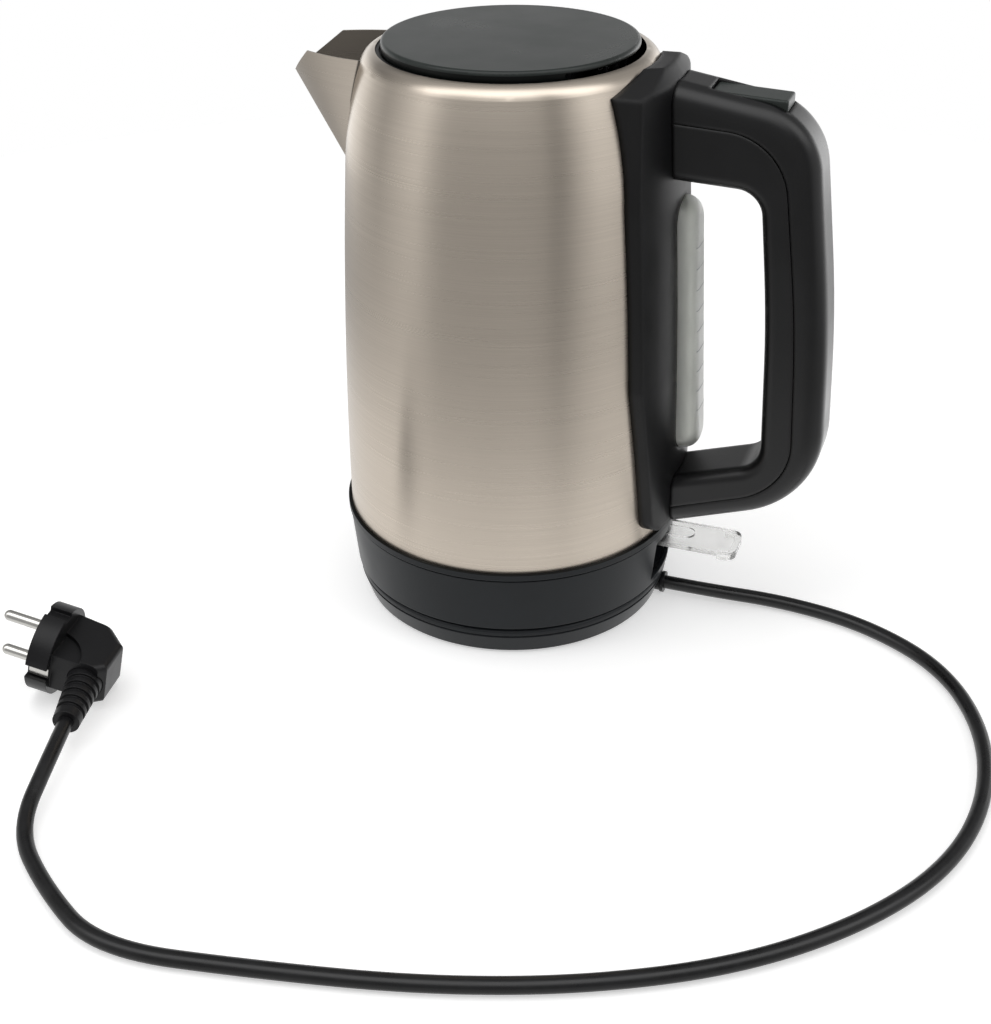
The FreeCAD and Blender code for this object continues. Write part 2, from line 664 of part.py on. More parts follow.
def jug_line(shift):
    """The jug's outer line from its foot to the turn, moved outwards by a distance."""
    return [
        Corner(s.body_foot_radius + shift, s.body_foot_height),
        Via(s.body_belly_radius + shift, s.body_belly_height),
        Corner(s.body_neck_radius + shift, s.body_neck_height),
        Via(s.body_crown_radius + shift, s.body_crown_height),
        Corner(s.body_shoulder_radius + shift, s.body_shoulder_height),
    ]


def jug_block(name, shift):
    """The solid jug without its hollow, to trim what sits on it."""
    roof = s.opening_height + s.body_wall
    return revolved(name, jug_line(shift) + [
        Via(s.body_turn_radius + shift, s.body_turn_height),
        Corner(s.opening_radius + shift, s.opening_height),
        Corner(s.opening_radius + shift, roof),
        Corner(0, roof),
        Corner(0, s.body_foot_height),
    ])


def pill(name, radius, edge_rounding=None):
    """A block with the water window's round-ended outline, through the window's axis."""
    half_length = s.window_half_length
    body = padded(name, "YZ_Plane", [
        Corner(radius, -half_length),
        Corner(radius, half_length),
        Via(0, half_length + radius),
        Corner(-radius, half_length),
        Corner(-radius, -half_length),
        Via(0, -half_length - radius),
    ], 2 * radius, 0, True)
    if edge_rounding is not None:
        rounded(body, name + "_rounding", edge_rounding, lambda point: same(point.x, number(radius)))
    return place(body, *window_middle, window_turn)


# Power base

def make_base():
    edge_in = s.base_edge_radius - s.base_groove_depth
    groove_top = s.base_groove_height + s.base_groove_width
    shell = revolved("base_shell", [
        Corner(s.base_foot_radius, s.base_foot_height),
        Corner(s.base_edge_radius, s.base_groove_height),
        Corner(edge_in, s.base_groove_height),
        Corner(edge_in, groove_top),
        Corner(s.base_edge_radius, groove_top),
        Corner(s.base_edge_radius, s.base_top_height, s.base_edge_rounding),
        Corner(s.seat_outer_radius, s.base_top_height),
        Corner(s.seat_outer_radius, seat_top),
        Corner(s.seat_inner_radius, seat_top),
        Corner(s.seat_inner_radius, s.base_top_height),
        Corner(s.hub_radius + s.fit, s.base_top_height),
        Corner(s.hub_radius + s.fit, base_ceiling),
        Corner(s.base_edge_radius - s.base_wall - s.base_groove_depth, base_ceiling),
        Corner(s.base_foot_radius - s.base_wall, s.base_foot_height),
    ])
    places = around(BASE_SCREW_COUNT, s.base_screw_circle, 60.0)
    boss_radius = s.screw_radius + s.base_wall
    boss_low = base_plate_top + s.fit
    bosses = []
    holes = []
    for index, (x, y) in enumerate(places):
        bosses.append(rod(f"base_boss_{index}", boss_radius, base_ceiling + s.fit - boss_low, x, y, boss_low))
        holes.append(screw_hole(f"base_boss_hole_{index}", x, y, boss_low, base_ceiling - s.base_wall / 2))
    gland_hole = rod("gland_hole", s.gland_neck_radius + s.fit, s.base_edge_radius / 2,
                     s.base_edge_radius * 0.75, s.cord_exit_side, s.cord_exit_height, ALONG_X)
    piece("base_top_shell", cut("base_top", fused("base_bossed", [shell] + bosses), holes + [gland_hole]))

    plate = rod("base_plate_disc", s.base_foot_radius - s.base_wall - s.fit, s.base_wall,
                0, 0, s.base_foot_height)
    recesses = []
    feet = []
    for index, (x, y) in enumerate(around(FOOT_COUNT, s.foot_circle, 45.0)):
        recesses.append(rod(f"foot_recess_{index}", s.foot_radius + s.fit, s.foot_recess,
                            x, y, s.base_foot_height))
        feet.append(rod(f"foot_{index}", s.foot_radius, s.base_foot_height + s.foot_recess - s.fit, x, y, 0))
    seat = s.base_foot_height + s.screw_head_height
    screws = []
    for index, (x, y) in enumerate(places):
        recesses.append(rod(f"base_screw_seat_{index}", s.screw_head_radius + s.fit, s.screw_head_height,
                            x, y, s.base_foot_height))
        recesses.append(screw_hole(f"base_screw_hole_{index}", x, y, s.base_foot_height, base_plate_top))
        screws.append(screw(f"base_screw_{index}", x, y, seat))
    piece("base_bottom_plate", cut("base_plate", plate, recesses))
    piece("base_feet", fused("base_foot_group", feet))
    piece("base_screws", fused("base_screw_group", screws))


def make_connector():
    hub_floor = base_plate_top + s.fit
    sleeve = s.contact_sleeve_radius + s.fit
    groove_in = s.contact_ring_radius - s.contact_groove_half_width
    groove_out = s.contact_ring_radius + s.contact_groove_half_width
    piece("base_socket", revolved("socket", [
        Corner(0, hub_floor),
        Corner(s.hub_flange_radius, hub_floor),
        Corner(s.hub_flange_radius, base_ceiling - s.fit),
        Corner(s.hub_radius, base_ceiling - s.fit),
        Corner(s.hub_radius, s.hub_height, s.base_edge_rounding),
        Corner(groove_out, s.hub_height),
        Corner(groove_out, s.contact_floor),
        Corner(groove_in, s.contact_floor),
        Corner(groove_in, s.hub_height),
        Corner(sleeve, s.hub_height),
        Corner(sleeve, s.contact_floor),
        Corner(0, s.contact_floor),
    ]))
    contact_height = s.hub_height - s.contact_floor - s.base_wall
    contact_low = s.contact_floor + s.fit
    ring_out = groove_in + s.fit + s.contact_wall
    sleeve_in = s.contact_sleeve_radius - s.contact_wall
    middle = cut("middle_contact",
                 rod("middle_out", s.contact_sleeve_radius, contact_height, 0, 0, contact_low),
                 [rod("middle_in", sleeve_in, contact_height, 0, 0, contact_low)])
    ring = cut("ring_contact", rod("ring_out", ring_out, contact_height, 0, 0, contact_low),
               [rod("ring_in", groove_in + s.fit, contact_height, 0, 0, contact_low)])
    piece("base_contacts", fused("base_contact_group", [middle, ring]))

    cup_in = s.hub_radius + s.running_gap
    cup_out = cup_in + s.coupler_wall
    cup_low = seat_top + s.running_gap
    flange_low = cover_top + s.running_gap
    flange_top = flange_low + s.coupler_flange_thickness
    roof_top = s.coupler_roof_height + s.base_wall
    piece("kettle_coupler", revolved("coupler", [
        Corner(0, s.coupler_roof_height),
        Corner(cup_in, s.coupler_roof_height),
        Corner(cup_in, cup_low),
        Corner(cup_out, cup_low),
        Corner(cup_out, flange_low),
        Corner(cup_out + s.coupler_flange_width, flange_low),
        Corner(cup_out + s.coupler_flange_width, flange_top),
        Corner(cup_out, flange_top),
        Corner(cup_out, roof_top),
        Corner(0, roof_top),
    ]))
    blade_low = s.contact_floor + s.base_wall
    blade_height = s.coupler_roof_height - blade_low
    blade_in = ring_out + s.running_gap
    pin = rod("coupler_pin", s.contact_pin_radius, blade_height, 0, 0, blade_low)
    blade = cut("coupler_blade", rod("blade_out", blade_in + s.contact_wall, blade_height, 0, 0, blade_low),
                [rod("blade_in", blade_in, blade_height, 0, 0, blade_low)])
    piece("coupler_contacts", fused("coupler_contact_group", [pin, blade]))
    return cup_out


# Lower part of the kettle

def make_foot(coupler_radius):
    groove_top = s.skirt_groove_height + s.skirt_groove_width
    groove_in = s.skirt_groove_radius - s.skirt_groove_depth
    lip_in = s.body_foot_radius + s.fit
    skirt = revolved("skirt_ring", [
        Corner(s.skirt_foot_radius, s.skirt_foot_height),
        Corner(s.skirt_groove_radius, s.skirt_groove_height),
        Corner(groove_in, s.skirt_groove_height),
        Corner(groove_in, groove_top),
        Corner(s.skirt_lip_radius, groove_top),
        Corner(s.skirt_lip_radius, s.skirt_lip_height),
        Corner(lip_in, s.skirt_lip_height),
        Corner(lip_in, shelf_top),
        Corner(s.skirt_shelf_radius, shelf_top),
        Corner(s.skirt_shelf_radius, shelf_low),
        Corner(s.skirt_groove_radius - s.skirt_wall, shelf_low),
        Corner(s.skirt_foot_radius - s.skirt_wall, s.skirt_foot_height),
    ])
    ear_in = s.lever_half_width + s.running_gap
    ear_low = s.lever_axis_height - s.lever_ear_half_length
    ears = []
    for index, side in enumerate((1, -1)):
        span = sorted((side * ear_in, side * (ear_in + s.lever_ear_thickness)), key=number)
        ears.append(block(f"lever_ear_{index}",
                          (s.lever_axis_distance - s.lever_ear_half_length,
                           s.lever_axis_distance + s.lever_ear_half_length),
                          span, (ear_low, shelf_low + s.fit)))
    places = around(BOTTOM_SCREW_COUNT, s.skirt_boss_circle, 60.0)
    boss_low = cover_top + s.fit
    bosses = []
    holes = []
    for index, (x, y) in enumerate(places):
        bosses.append(rod(f"skirt_boss_{index}", s.skirt_boss_radius, shelf_low + s.fit - boss_low,
                          x, y, boss_low))
        holes.append(screw_hole(f"skirt_boss_hole_{index}", x, y, boss_low, boss_low + s.screw_length))
    notch_depth = (s.lever_axis_distance + s.lever_ear_half_length, s.skirt_lip_radius + s.clear_margin)
    notch = block("lever_notch", notch_depth,
                  (-s.notch_half_width, s.notch_half_width), (s.notch_low, s.notch_high))
    axle_length = 2 * (ear_in + s.lever_ear_thickness)
    axle_start = -ear_in - s.lever_ear_thickness
    axle_hole = rod("axle_hole", s.lever_axle_radius + s.bearing_gap, axle_length,
                    s.lever_axis_distance, axle_start, s.lever_axis_height, ALONG_Y)
    skirt_solid = fused("skirt_solid", [skirt] + ears + bosses)
    piece("skirt", cut("skirt_cut", skirt_solid, holes + [notch, axle_hole]))
    piece("lever_axle", rod("axle", s.lever_axle_radius, axle_length,
                            s.lever_axis_distance, axle_start, s.lever_axis_height, ALONG_Y))

    cover_radius = s.skirt_foot_radius - s.skirt_wall - s.fit
    cover = revolved("cover", [
        Corner(coupler_radius + s.running_gap, s.skirt_foot_height),
        Corner(cover_radius, s.skirt_foot_height),
        Corner(cover_radius, cover_top),
        Corner(coupler_radius + s.running_gap, cover_top),
    ])
    seats = []
    screws = []
    for index, (x, y) in enumerate(places):
        seats.append(rod(f"cover_seat_{index}", s.screw_head_radius + s.fit, s.screw_head_height,
                         x, y, s.skirt_foot_height))
        seats.append(screw_hole(f"cover_hole_{index}", x, y, s.skirt_foot_height, cover_top))
        screws.append(screw(f"bottom_screw_{index}", x, y, s.skirt_foot_height + s.screw_head_height))
    piece("bottom_cover", cut("cover_cut", cover, seats))
    piece("bottom_screws", fused("bottom_screw_group", screws))


def make_heater():
    seal_in = s.skirt_shelf_radius + s.skirt_wall
    seal = cut("seal_cut", rod("seal_out", plate_radius, s.seal_thickness, 0, 0, seal_low),
               [rod("seal_in", seal_in, s.seal_thickness, 0, 0, seal_low)])
    piece("element_seal", seal)
    tube_hole = rod("plate_tube_hole", s.steam_tube_radius + s.fit, s.plate_thickness,
                    s.steam_tube_across, s.steam_tube_side, plate_low)
    disc = rod("plate_disc", plate_radius, s.plate_thickness, 0, 0, plate_low)
    piece("element_plate", cut("plate_cut", disc, [tube_hole]))
    ring = doc.addObject("Part::Torus", "heating_ring")
    ring.setExpression("Radius1", s.element_radius.text)
    ring.setExpression("Radius2", s.element_tube_radius.text)
    ring.setExpression("Angle3", (360 - 2 * s.element_gap_angle).text)
    turn = FreeCAD.Rotation(FreeCAD.Vector(0, 0, 1), s.element_gap_angle.value)
    piece("heating_element", place(ring, 0, 0, plate_low - s.fit - s.element_tube_radius, turn))
    control_low = s.coupler_roof_height + s.base_wall + s.running_gap
    control_top = plate_low - s.fit
    control = rod("control_drum", s.control_radius, control_top - control_low, 0, 0, control_low)
    arm = block("control_arm", (nothing, s.control_arm_length),
                (-s.control_arm_half_width, s.control_arm_half_width), (control_low, control_top))
    piece("control_unit", fused("control", [control, arm]))
    piece("indicator_lamp", rod("lamp", s.lamp_radius, s.lamp_length, s.control_arm_length,
                                s.control_arm_half_width / 2, control_top - s.lamp_radius, ALONG_X))
    tube_length = s.steam_tube_top - plate_low
    tube = cut("steam_tube_cut",
               rod("tube_out", s.steam_tube_radius, tube_length,
                   s.steam_tube_across, s.steam_tube_side, plate_low),
               [rod("tube_in", s.steam_tube_radius - s.steam_tube_wall, tube_length,
                    s.steam_tube_across, s.steam_tube_side, plate_low)])
    piece("steam_tube", tube)


def make_lever():
    axis_x = s.lever_axis_distance
    plate_under = s.lever_top - s.lever_thickness
    plate = padded("lever_plate", "XY_Plane", [
        Corner(axis_x, -s.lever_half_width),
        Corner(s.lever_tip_distance, -s.lever_half_width, s.lever_corner_rounding),
        Corner(s.lever_tip_distance, s.lever_half_width, s.lever_corner_rounding),
        Corner(axis_x, s.lever_half_width),
    ], s.lever_thickness, plate_under)
    lip_start = s.lever_tip_distance - s.lever_corner_rounding - s.lever_lip_length
    inner_tip = s.lever_tip_distance - s.lever_lip_length
    inner_side = s.lever_half_width - s.lever_lip_length
    lip = padded("lever_lip", "XY_Plane", [
        Corner(lip_start, -s.lever_half_width),
        Corner(s.lever_tip_distance, -s.lever_half_width, s.lever_corner_rounding),
        Corner(s.lever_tip_distance, s.lever_half_width, s.lever_corner_rounding),
        Corner(lip_start, s.lever_half_width),
        Corner(lip_start, inner_side),
        Corner(inner_tip, inner_side, s.lever_corner_rounding - s.lever_lip_length),
        Corner(inner_tip, -inner_side, s.lever_corner_rounding - s.lever_lip_length),
        Corner(lip_start, -inner_side),
    ], s.lever_thickness + s.lever_lip_drop, plate_under - s.lever_lip_drop)
    tongue = padded("lever_tongue", "XY_Plane", [
        Corner(axis_x, -s.lever_tongue_half_width),
        Corner(s.lever_tongue_end, -s.lever_tongue_half_width, s.lever_tongue_half_width - s.fit),
        Corner(s.lever_tongue_end, s.lever_tongue_half_width, s.lever_tongue_half_width - s.fit),
        Corner(axis_x, s.lever_tongue_half_width),
    ], s.lever_thickness + s.lever_tongue_height, plate_under)
    boss = rod("lever_boss", s.lever_boss_radius, 2 * s.lever_half_width, axis_x, -s.lever_half_width,
               s.lever_axis_height, ALONG_Y)
    bore = rod("lever_bore", s.lever_axle_radius + s.bearing_gap, 2 * s.lever_half_width, axis_x,
               -s.lever_half_width, s.lever_axis_height, ALONG_Y)
    piece("switch_lever", cut("lever_cut", fused("lever_solid", [plate, lip, tongue, boss]), [bore]))


# Jug, spout and filter

def make_jug():
    wall = s.body_wall
    shell = revolved("jug_shell", jug_line(nothing) + [
        Via(s.body_turn_radius, s.body_turn_height),
        Corner(s.opening_radius, s.opening_height),
        Corner(s.opening_radius, s.opening_height - wall),
        Via(s.body_turn_radius - wall, s.body_turn_height - wall / 2),
        Corner(s.body_shoulder_radius - wall, s.body_shoulder_height),
        Via(s.body_crown_radius - wall, s.body_crown_height),
        Corner(s.body_neck_radius - wall, s.body_neck_height),
        Via(s.body_belly_radius - wall, s.body_belly_height),
        Corner(s.body_foot_radius - wall, s.body_foot_height),
    ])
    port = padded("spout_port", "YZ_Plane", [
        Corner(-s.port_low_half_width, s.port_low, s.port_rounding),
        Corner(s.port_low_half_width, s.port_low, s.port_rounding),
        Corner(s.port_top_half_width, s.port_top, s.port_rounding),
        Corner(-s.port_top_half_width, s.port_top, s.port_rounding),
    ], s.body_neck_radius - s.spout_root_distance + s.clear_margin, -s.body_neck_radius - s.clear_margin)
    latch_window = block("latch_window", (s.opening_radius, s.strip_brow_radius),
                         (-s.latch_half_width - s.clear_margin, s.latch_half_width + s.clear_margin),
                         (s.latch_low - s.clear_margin, s.latch_low + s.latch_thickness + s.clear_margin))
    slot = pill("gauge_slot", s.slot_radius)
    piece("body_shell", cut("jug_cut", shell, [port, latch_window, slot]))


def spout_outline(nose, root_half, side_distance, side_half, sheet_in):
    """One level of the spout, as an arch that points away from the handle."""
    root = -s.spout_root_distance
    tip = -(nose - sheet_in)
    nose_start = tip + s.spout_nose_length
    nose_half = s.spout_nose_half_width - sheet_in / 2
    return [
        Corner(root, -(root_half - sheet_in)),
        Corner(root, root_half - sheet_in),
        Via(-side_distance, side_half - sheet_in),
        Corner(nose_start, nose_half),
        Via(tip, 0),
        Corner(nose_start, -nose_half),
        Via(-side_distance, -(side_half - sheet_in)),
    ]


def make_spout():
    body = doc.addObject("PartDesign::Body", "spout_sheet_body")
    for step, (kind, sheet_in) in enumerate((("AdditiveLoft", nothing), ("SubtractiveLoft", s.spout_sheet))):
        low = sketch_on(body, "XY_Plane", f"spout_low_{step}", spout_outline(
            s.spout_low_nose, s.spout_low_root_half_width, s.spout_low_side_distance,
            s.spout_low_side_half_width, sheet_in), s.spout_low_height)
        high = sketch_on(body, "XY_Plane", f"spout_high_{step}", spout_outline(
            s.spout_high_nose, s.spout_high_root_half_width, s.spout_high_side_distance,
            s.spout_high_side_half_width, sheet_in), s.spout_high_height)
        loft = body.newObject("PartDesign::" + kind, f"spout_loft_{step}")
        loft.Profile = low
        loft.Sections = [high]
        loft.Ruled = True
        doc.recompute()
    slope_drop = (s.spout_mouth_height - s.spout_lip_height) / (s.spout_lip_distance - s.spout_mouth_corner)
    far = s.spout_high_nose + s.spout_nose_length
    far_height = s.spout_mouth_height - slope_drop * (far - s.spout_mouth_corner)
    above = s.spout_high_height + s.clear_margin
    mouth = padded("spout_mouth", "XZ_Plane", [
        Corner(-s.spout_root_distance + s.clear_margin, s.spout_mouth_height),
        Corner(-s.spout_root_distance + s.clear_margin, above),
        Corner(-far, above),
        Corner(-far, far_height),
        Corner(-s.spout_mouth_corner, s.spout_mouth_height),
    ], 4 * s.spout_high_root_half_width, 0, True)
    piece("spout", cut("spout_cut", body, [mouth, jug_block("jug_for_spout", s.fit / 2)]))

    inner = -s.body_wall - s.fit
    outer_line = jug_line(inner)[2:]
    inner_line = jug_line(inner - s.filter_thickness)[2:]
    band = revolved("filter_band", outer_line + inner_line[::-1])
    form = padded("filter_form", "YZ_Plane", [
        Corner(-s.filter_half_width, s.filter_low, s.port_rounding),
        Corner(s.filter_half_width, s.filter_low, s.port_rounding),
        Corner(s.filter_half_width, s.filter_high, s.port_rounding),
        Corner(-s.filter_half_width, s.filter_high, s.port_rounding),
    ], s.body_neck_radius, -s.body_neck_radius)
    slots = []
    for index in range(FILTER_SLOT_COUNT):
        middle = s.filter_slot_pitch * (index - (FILTER_SLOT_COUNT - 1) / 2)
        slots.append(block(f"filter_slot_{index}", (-s.body_neck_radius, nothing),
                           (middle - s.filter_slot_half_width, middle + s.filter_slot_half_width),
                           (s.filter_low + s.filter_slot_margin, s.filter_high - s.filter_slot_margin)))
    piece("spout_filter", cut("filter_cut", common("filter_plate", band, form), slots))


# Strip behind the handle, water window

def strip_face(shift):
    """The strip's outer face from its foot to the brow under the crest."""
    return [
        Corner(s.strip_foot_radius + shift, s.strip_foot_height),
        Via(s.strip_belly_radius + shift, s.body_belly_height),
        Corner(s.strip_neck_radius + shift, s.body_neck_height),
        Corner(s.strip_brow_radius + shift, s.strip_brow_height),
    ]


def make_strip():
    inner = jug_line(s.fit)
    band = revolved("strip_band", strip_face(nothing) + [
        Corner(s.strip_crest_radius, s.strip_crest_height),
        Corner(s.body_shoulder_radius + s.fit, s.strip_inner_height),
    ] + inner[::-1] + [Corner(s.strip_foot_radius, s.body_foot_height)])
    half = [
        (s.strip_foot_half_width, s.strip_foot_height, s.strip_corner_rounding),
        (s.strip_belly_half_width, s.body_belly_height, None),
        (s.strip_neck_half_width, s.body_neck_height, None),
        (s.strip_top_half_width, s.strip_top_height, None),
        (s.strip_crest_half_width, s.strip_crest_height + s.clear_margin / 2, None),
    ]
    right = [Corner(across, up, rounding) for across, up, rounding in half]
    left = [Corner(-across, up, rounding) for across, up, rounding in half[::-1]]
    form = padded("strip_form", "YZ_Plane", right + left, 2 * s.body_foot_radius, 0)
    latch_hole = block("strip_latch_hole", (s.opening_radius, s.handle_bend_distance),
                       (-s.latch_half_width - s.running_gap, s.latch_half_width + s.running_gap),
                       (s.latch_low - s.running_gap, s.latch_low + s.latch_thickness + s.running_gap))
    seat = pill("window_seat", s.window_radius + s.fit)
    piece("handle_strip", cut("strip_cut", common("strip_solid", band, form), [latch_hole, seat]))


def make_window():
    inner_radius = s.window_radius - s.window_wall
    outside = pill("window_outside", s.window_radius, s.window_edge_rounding)
    inside = pill("window_inside", inner_radius, s.window_edge_rounding - s.window_wall)
    jug = jug_block("jug_for_window", s.gasket_thickness + s.fit)
    piece("water_window", cut("window_cut", outside, [inside, jug]))
    footprint = cut("gasket_footprint", pill("gasket_outside", s.window_radius),
                    [pill("gasket_inside", inner_radius)])
    layer = revolved("gasket_layer", jug_line(s.gasket_thickness) + jug_line(s.fit)[::-1])
    half = s.window_radius + s.clear_margin
    front = block("gasket_side", (nothing, s.strip_foot_radius), (-half, half),
                  (s.body_foot_height, s.opening_height))
    piece("window_gasket", common("gasket", common("gasket_ring", footprint, layer), front))


# Handle

def handle_lines():
    outer = [
        Corner(s.handle_root_distance, s.handle_root_height),
        Corner(s.handle_bend_distance, s.handle_bend_height, s.handle_bend_rounding),
        Corner(s.handle_back_distance, s.handle_back_height, s.grip_sweep),
        Corner(s.handle_heel_distance, s.handle_heel_height, s.handle_heel_rounding),
        Corner(s.handle_root_distance, s.handle_sole_height),
    ]
    gap = [
        Corner(s.handle_root_distance, s.gap_top_height),
        Corner(s.gap_bend_distance, s.gap_bend_height, s.gap_bend_rounding),
        Corner(s.gap_back_distance, s.handle_back_height, s.grip_sweep),
        Corner(s.gap_heel_distance, s.gap_heel_height, s.gap_heel_rounding),
        Corner(s.handle_root_distance, s.gap_sole_height),
    ]
    return outer, gap


def seam_line(inset):
    return [
        Corner(s.handle_root_distance, s.seam_root_height - inset),
        Corner(s.seam_bend_distance - inset, s.seam_bend_height - inset, s.seam_bend_rounding),
        Corner(s.seam_back_distance - inset, s.handle_back_height, s.grip_sweep),
        Corner(s.seam_heel_distance - inset, s.seam_heel_height + inset, s.seam_heel_rounding),
        Corner(s.handle_root_distance, s.seam_sole_height + inset),
    ]


def handle_core(name):
    """The hollow inside both handle mouldings."""
    wall = s.handle_wall
    start = s.handle_root_distance
    outline = [
        Corner(start, s.handle_root_height - wall),
        Corner(s.handle_bend_distance - wall, s.handle_bend_height - wall, s.handle_bend_rounding),
        Corner(s.handle_back_distance - wall, s.handle_back_height, s.grip_sweep),
        Corner(s.handle_heel_distance - wall, s.handle_heel_height + wall, s.handle_heel_rounding),
        Corner(start, s.handle_sole_height + wall),
        Corner(start, s.gap_sole_height - wall),
        Corner(s.gap_heel_distance + wall, s.gap_heel_height - wall, s.gap_heel_rounding),
        Corner(s.gap_back_distance + wall, s.handle_back_height, s.grip_sweep),
        Corner(s.gap_bend_distance + wall, s.gap_bend_height + wall, s.gap_bend_rounding),
        Corner(start, s.gap_top_height + wall),
    ]
    return padded(name, "XZ_Plane", outline, 2 * (s.handle_half_width - wall), 0, True)


def strip_block(name):
    """What lies inside the strip's face, to trim the handle's ends."""
    top = s.strip_brow_height + s.strip_brow_height - s.body_neck_height
    return revolved(name, [Corner(s.strip_foot_radius + s.fit, s.body_foot_height)] + strip_face(s.fit) + [
        Corner(s.strip_brow_radius + s.fit, top),
        Corner(0, top),
        Corner(0, s.body_foot_height),
    ])


def make_handle():
    outer, gap = handle_lines()
    half = s.handle_half_width.value
    seam_out = seam_line(nothing)
    seam_in = seam_line(s.seam_gap)

    root = s.handle_root_distance
    sole_slope = (s.handle_heel_height - s.handle_sole_height) / (s.handle_heel_distance - root)
    gap_slope = (s.gap_heel_height - s.gap_sole_height) / (s.gap_heel_distance - root)
    back_body = padded("handle_back", "XZ_Plane", outer + seam_out[::-1], 2 * s.handle_half_width, 0, True)
    grip_body = padded("handle_grip", "XZ_Plane", seam_in + gap[::-1], 2 * s.handle_half_width, 0, True)
    rounded(back_body, "handle_back_rounding", s.handle_edge_rounding, side_edge_test(outer, seam_out, half))
    rounded(grip_body, "handle_grip_rounding", s.grip_edge_rounding, side_edge_test(gap, seam_in, half))

    button_well = block("button_well",
                        (s.button_inner_distance - s.running_gap, s.button_outer_distance + s.running_gap),
                        (-s.button_half_width - s.running_gap, s.button_half_width + s.running_gap),
                        (s.seam_bend_height, s.handle_root_height + s.handle_wall))
    screws = []
    back_holes = []
    bosses = []
    boss_holes = []
    boss_radius = s.screw_radius + s.handle_wall / 2
    below = s.handle_sole_height - s.clear_margin
    for index in range(HANDLE_SCREW_COUNT):
        x = s.handle_screw_first + s.handle_screw_step * index
        sole = s.handle_sole_height + sole_slope * (x - root)
        seat = sole + s.handle_screw_seat
        screws.append(screw(f"handle_screw_{index}", x, 0, seat))
        boss_low = sole + sole_slope * boss_radius + s.handle_wall + s.handle_boss_gap
        boss_top = s.gap_sole_height + gap_slope * (x - root) - s.handle_boss_sink
        back_holes.append(rod(f"handle_screw_well_{index}", s.screw_head_radius + s.fit, seat - below,
                              x, 0, below))
        back_holes.append(screw_hole(f"handle_screw_hole_{index}", x, 0, below, boss_low))
        bosses.append(rod(f"handle_boss_{index}", boss_radius, boss_top - boss_low, x, 0, boss_low))
        screw_end = seat + s.screw_length + s.fit
        boss_holes.append(screw_hole(f"handle_boss_hole_{index}", x, 0, boss_low, screw_end))
    back = cut("handle_back_cut", back_body,
               [handle_core("back_core"), strip_block("strip_for_back"), button_well] + back_holes)
    grip = cut("handle_grip_cut", grip_body, [handle_core("grip_core"), strip_block("strip_for_grip")])
    grip_bossed = cut("handle_grip_drilled", fused("handle_grip_bossed", [grip] + bosses), boss_holes)
    piece("handle_outer_shell", back)
    piece("handle_inner_shell", grip_bossed)
    piece("handle_screws", fused("handle_screw_group", screws))


def side_edge_test(wanted, other, half):
    """A test for the long side edges that follow one line of a handle moulding and not the other."""
    wanted_line = Part.makePolygon([spot(item) for item in wanted])
    other_line = Part.makePolygon([spot(item) for item in other])
    root = spot(wanted[0]).x

    def test(point):
        if not same(abs(point.y), half) or point.x < root - NEAR:
            return False
        flat = Part.Vertex(FreeCAD.Vector(point.x, point.z, 0))
        return flat.distToShape(wanted_line)[0] < flat.distToShape(other_line)[0]
    return test


def make_button():
    under = s.button_inner_height - s.button_plate
    leg_low = s.button_outer_height - s.button_leg_height
    leg_in = s.button_outer_distance - s.button_leg_length
    body = padded("button", "XZ_Plane", [
        Corner(s.button_inner_distance, s.button_inner_height, s.button_rounding),
        Corner(s.button_outer_distance, s.button_outer_height, s.button_rounding),
        Corner(s.button_outer_distance, leg_low),
        Corner(leg_in, leg_low),
        Corner(leg_in, under),
        Corner(s.button_inner_distance, under),
    ], 2 * s.button_half_width, 0, True)
    top = s.button_outer_height.value - s.button_rounding.value
    half = s.button_half_width.value
    rounded(body, "button_rounding", s.button_rounding,
            lambda point: same(abs(point.y), half) and point.z > top - NEAR)
    piece("lid_button", body)


def make_latch():
    start = s.hinge_distance + s.hinge_knuckle_radius + s.running_gap
    piece("lid_latch", block("latch", (start, s.latch_outer_distance),
                             (-s.latch_half_width, s.latch_half_width),
                             (s.latch_low, s.latch_low + s.latch_thickness)))


# Lid and its hinge

